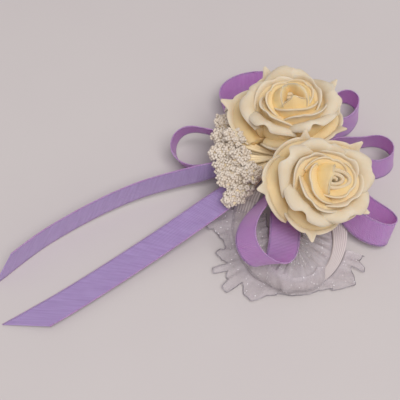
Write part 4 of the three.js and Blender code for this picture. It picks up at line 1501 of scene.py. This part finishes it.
def stalk_shells(start, end, head, axis, aside):
    """Three stalks that spread a little and sag by half a sine, and a core as long as the head."""
    t = np.linspace(0, 1, STALK_STEPS)[:, None]
    middle = start + (end - axis * STALK_STOP - start) * t - UP * STALK_SAG * np.sin(np.pi * t)
    taper = STALK_RADIUS * np.linspace(STALK_FOOT, 1.0, STALK_STEPS)
    stalks = [tube(middle + aside * (STALK_SPREAD * way * t), taper, STALK_SIDES, UP) for way in (-1, 0, 1)]
    length = np.linalg.norm(end - start)
    core = start + axis * (length - head * np.linspace(1, CORE_TIP, CORE_STEPS))[:, None]
    swell = CORE_RADIUS * np.sin(np.pi * np.linspace(*CORE_SPAN, CORE_STEPS)) ** CORE_ROUNDNESS
    return [*stalks, tube(core, swell, STALK_SIDES, UP)]


print("stalks spread to", 2 * STALK_SPREAD, "mm at the head")

# %% One sprig
SPRIG_HEAD_RADIUS = 3.3
HEAD_START = 0.2
HEAD_RUN = 0.72
HEAD_ROUNDNESS = 0.7
LOBES_PER_LENGTH = 2.8
LOBE_BEADS = 12
LOBE_RADIUS = 0.95
BEAD_RADIUS = 0.66
BEAD_SCATTER = 0.16
TWIG_STEPS = 5
TWIG_SIDES = 6
TWIG_FOOT = 1.12
TWIG_RADII = (0.42, 0.3)
TWIG_GUIDE = np.array([0.3, 0.5, 0.8])
ANY_TURN = 6.28
GOLDEN = np.pi * (3 - np.sqrt(5))


def ball_spots(count):
    """Points spread evenly over a unit ball: equal steps of height, golden-angle steps of turn."""
    k = np.arange(count)
    level = 1 - (2 * k + 1) / count
    ring = np.sqrt(1 - level ** 2)
    return np.stack([ring * np.cos(GOLDEN * k), ring * np.sin(GOLDEN * k), level], -1)


def sprig_shells(start, end, head, dice):
    """Stalks and a core, twigs on a golden-angle spiral, and a ball of beads at every twig's end."""
    length = np.linalg.norm(end - start)
    axis = (end - start) / length
    aside = unit(np.cross(axis, UP))
    above = np.cross(aside, axis)
    shells = stalk_shells(start, end, head, axis, aside)
    lobe_count = round(LOBES_PER_LENGTH * head)
    k = np.arange(lobe_count)
    share = (k + 0.5) / lobe_count
    turn = GOLDEN * k + ANY_TURN * dice.random()
    outline = SPRIG_HEAD_RADIUS * np.sin(np.pi * (HEAD_START + HEAD_RUN * share)) ** HEAD_ROUNDNESS
    spread = outline * (0.85 + 0.3 * dice.random(lobe_count))
    lobes = start + axis * (length - head * (1 - share))[:, None]
    lobes = lobes + spread[:, None] * (np.cos(turn)[:, None] * aside + np.sin(turn)[:, None] * above)
    for lobe, at in zip(lobes, share):
        joint = start + axis * (length - head * (TWIG_FOOT - at))
        twig = joint + (lobe - joint) * np.linspace(0, 1, TWIG_STEPS)[:, None]
        shells.append(tube(twig, np.linspace(*TWIG_RADII, TWIG_STEPS), TWIG_SIDES, TWIG_GUIDE))
    jitter = dice.normal(0, BEAD_SCATTER, (lobe_count, LOBE_BEADS, 3))
    beads = lobes[:, None] + LOBE_RADIUS * (ball_spots(LOBE_BEADS)[None] + jitter)
    radii = BEAD_RADIUS * (0.8 + 0.4 * dice.random(lobe_count * LOBE_BEADS))
    shells.append(bead_shell(beads.reshape(-1, 3), radii, finish=1))
    return shells


print("beads on a head of 12 mm:", round(LOBES_PER_LENGTH * 12) * LOBE_BEADS)

# %% Eleven sprigs
# Azimuth, length, height above the table and length of the head.
LOWER_TIER = [(126, 31, 22, 12), (140, 31, 22, 12), (154, 28, 22, 11), (172, 27, 22, 11),
              (187, 25, 21, 11), (201, 25, 20.5, 12), (217, 26, 15.5, 13)]
UPPER_TIER = [(132, 23, 25, 12), (157, 22, 27.5, 9), (187, 18, 27, 7), (214, 16, 24, 7)]
LOWER_LEVEL = -0.2
UPPER_LEVEL = 0.5
COLLAR_START = -6.0
SPRIG_STEM_RADIUS = 0.5
FAN_MIDDLE = 172
FAN_HALF = 50
FAN_SHARE = 0.95
dice = np.random.default_rng(31)
for number, (azimuth, length, height, head) in enumerate(LOWER_TIER + UPPER_TIER, 1):
    tier = LOWER_LEVEL if number <= len(LOWER_TIER) else UPPER_LEVEL
    start = np.array([COLLAR_START - SPRIG_STEM_RADIUS - GAP,
                      COLLAR_CENTRE[1] + (FAN_MIDDLE - azimuth) / FAN_HALF * COLLAR_RADIUS * FAN_SHARE,
                      COLLAR_CENTRE[2] + COLLAR_RADIUS * tier])
    way = np.radians(azimuth)
    end = np.array([start[0] + length * np.cos(way), start[1] + length * np.sin(way), height - TABLE_DROP])
    sprig = new_piece(f"bead_sprig_{number}", sprig_shells(start, end, head, dice), [STALK, BEADS])
    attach(sprig, "flowers")
    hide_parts(f"pip_sprig_{number}")

# %% Their taped collar
COLLAR_STEPS = 60
COLLAR_SIDES = 32
COLLAR_TAPER = 0.8
TAPE_PITCH = 1.6
TAPE_SWELL = 0.03
along = np.linspace(0, 1, COLLAR_STEPS)
first = np.array([COLLAR_START, COLLAR_CENTRE[1], COLLAR_CENTRE[2]])
path = first + along[:, None] * np.array([COLLAR_LENGTH, 0, 0])
turns = np.abs(np.sin(np.pi * along * COLLAR_LENGTH / TAPE_PITCH))
wrap = COLLAR_RADIUS * mix(1, COLLAR_TAPER, along) * (1 - TAPE_SWELL + TAPE_SWELL * turns)
collar = new_piece("tape_collar", [tube(path, wrap, COLLAR_SIDES, UP)], [TAPE])
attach(collar, "flowers")
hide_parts("spray_collar")

# %% Both boxes, and the end
low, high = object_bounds()
sizes = {"cad": [list(cad_low), list(cad_high)], "visual": [list(low), list(high)]}
print("visual box in mm:", [round(x / MM, 1) for x in low], [round(x / MM, 1) for x in high])
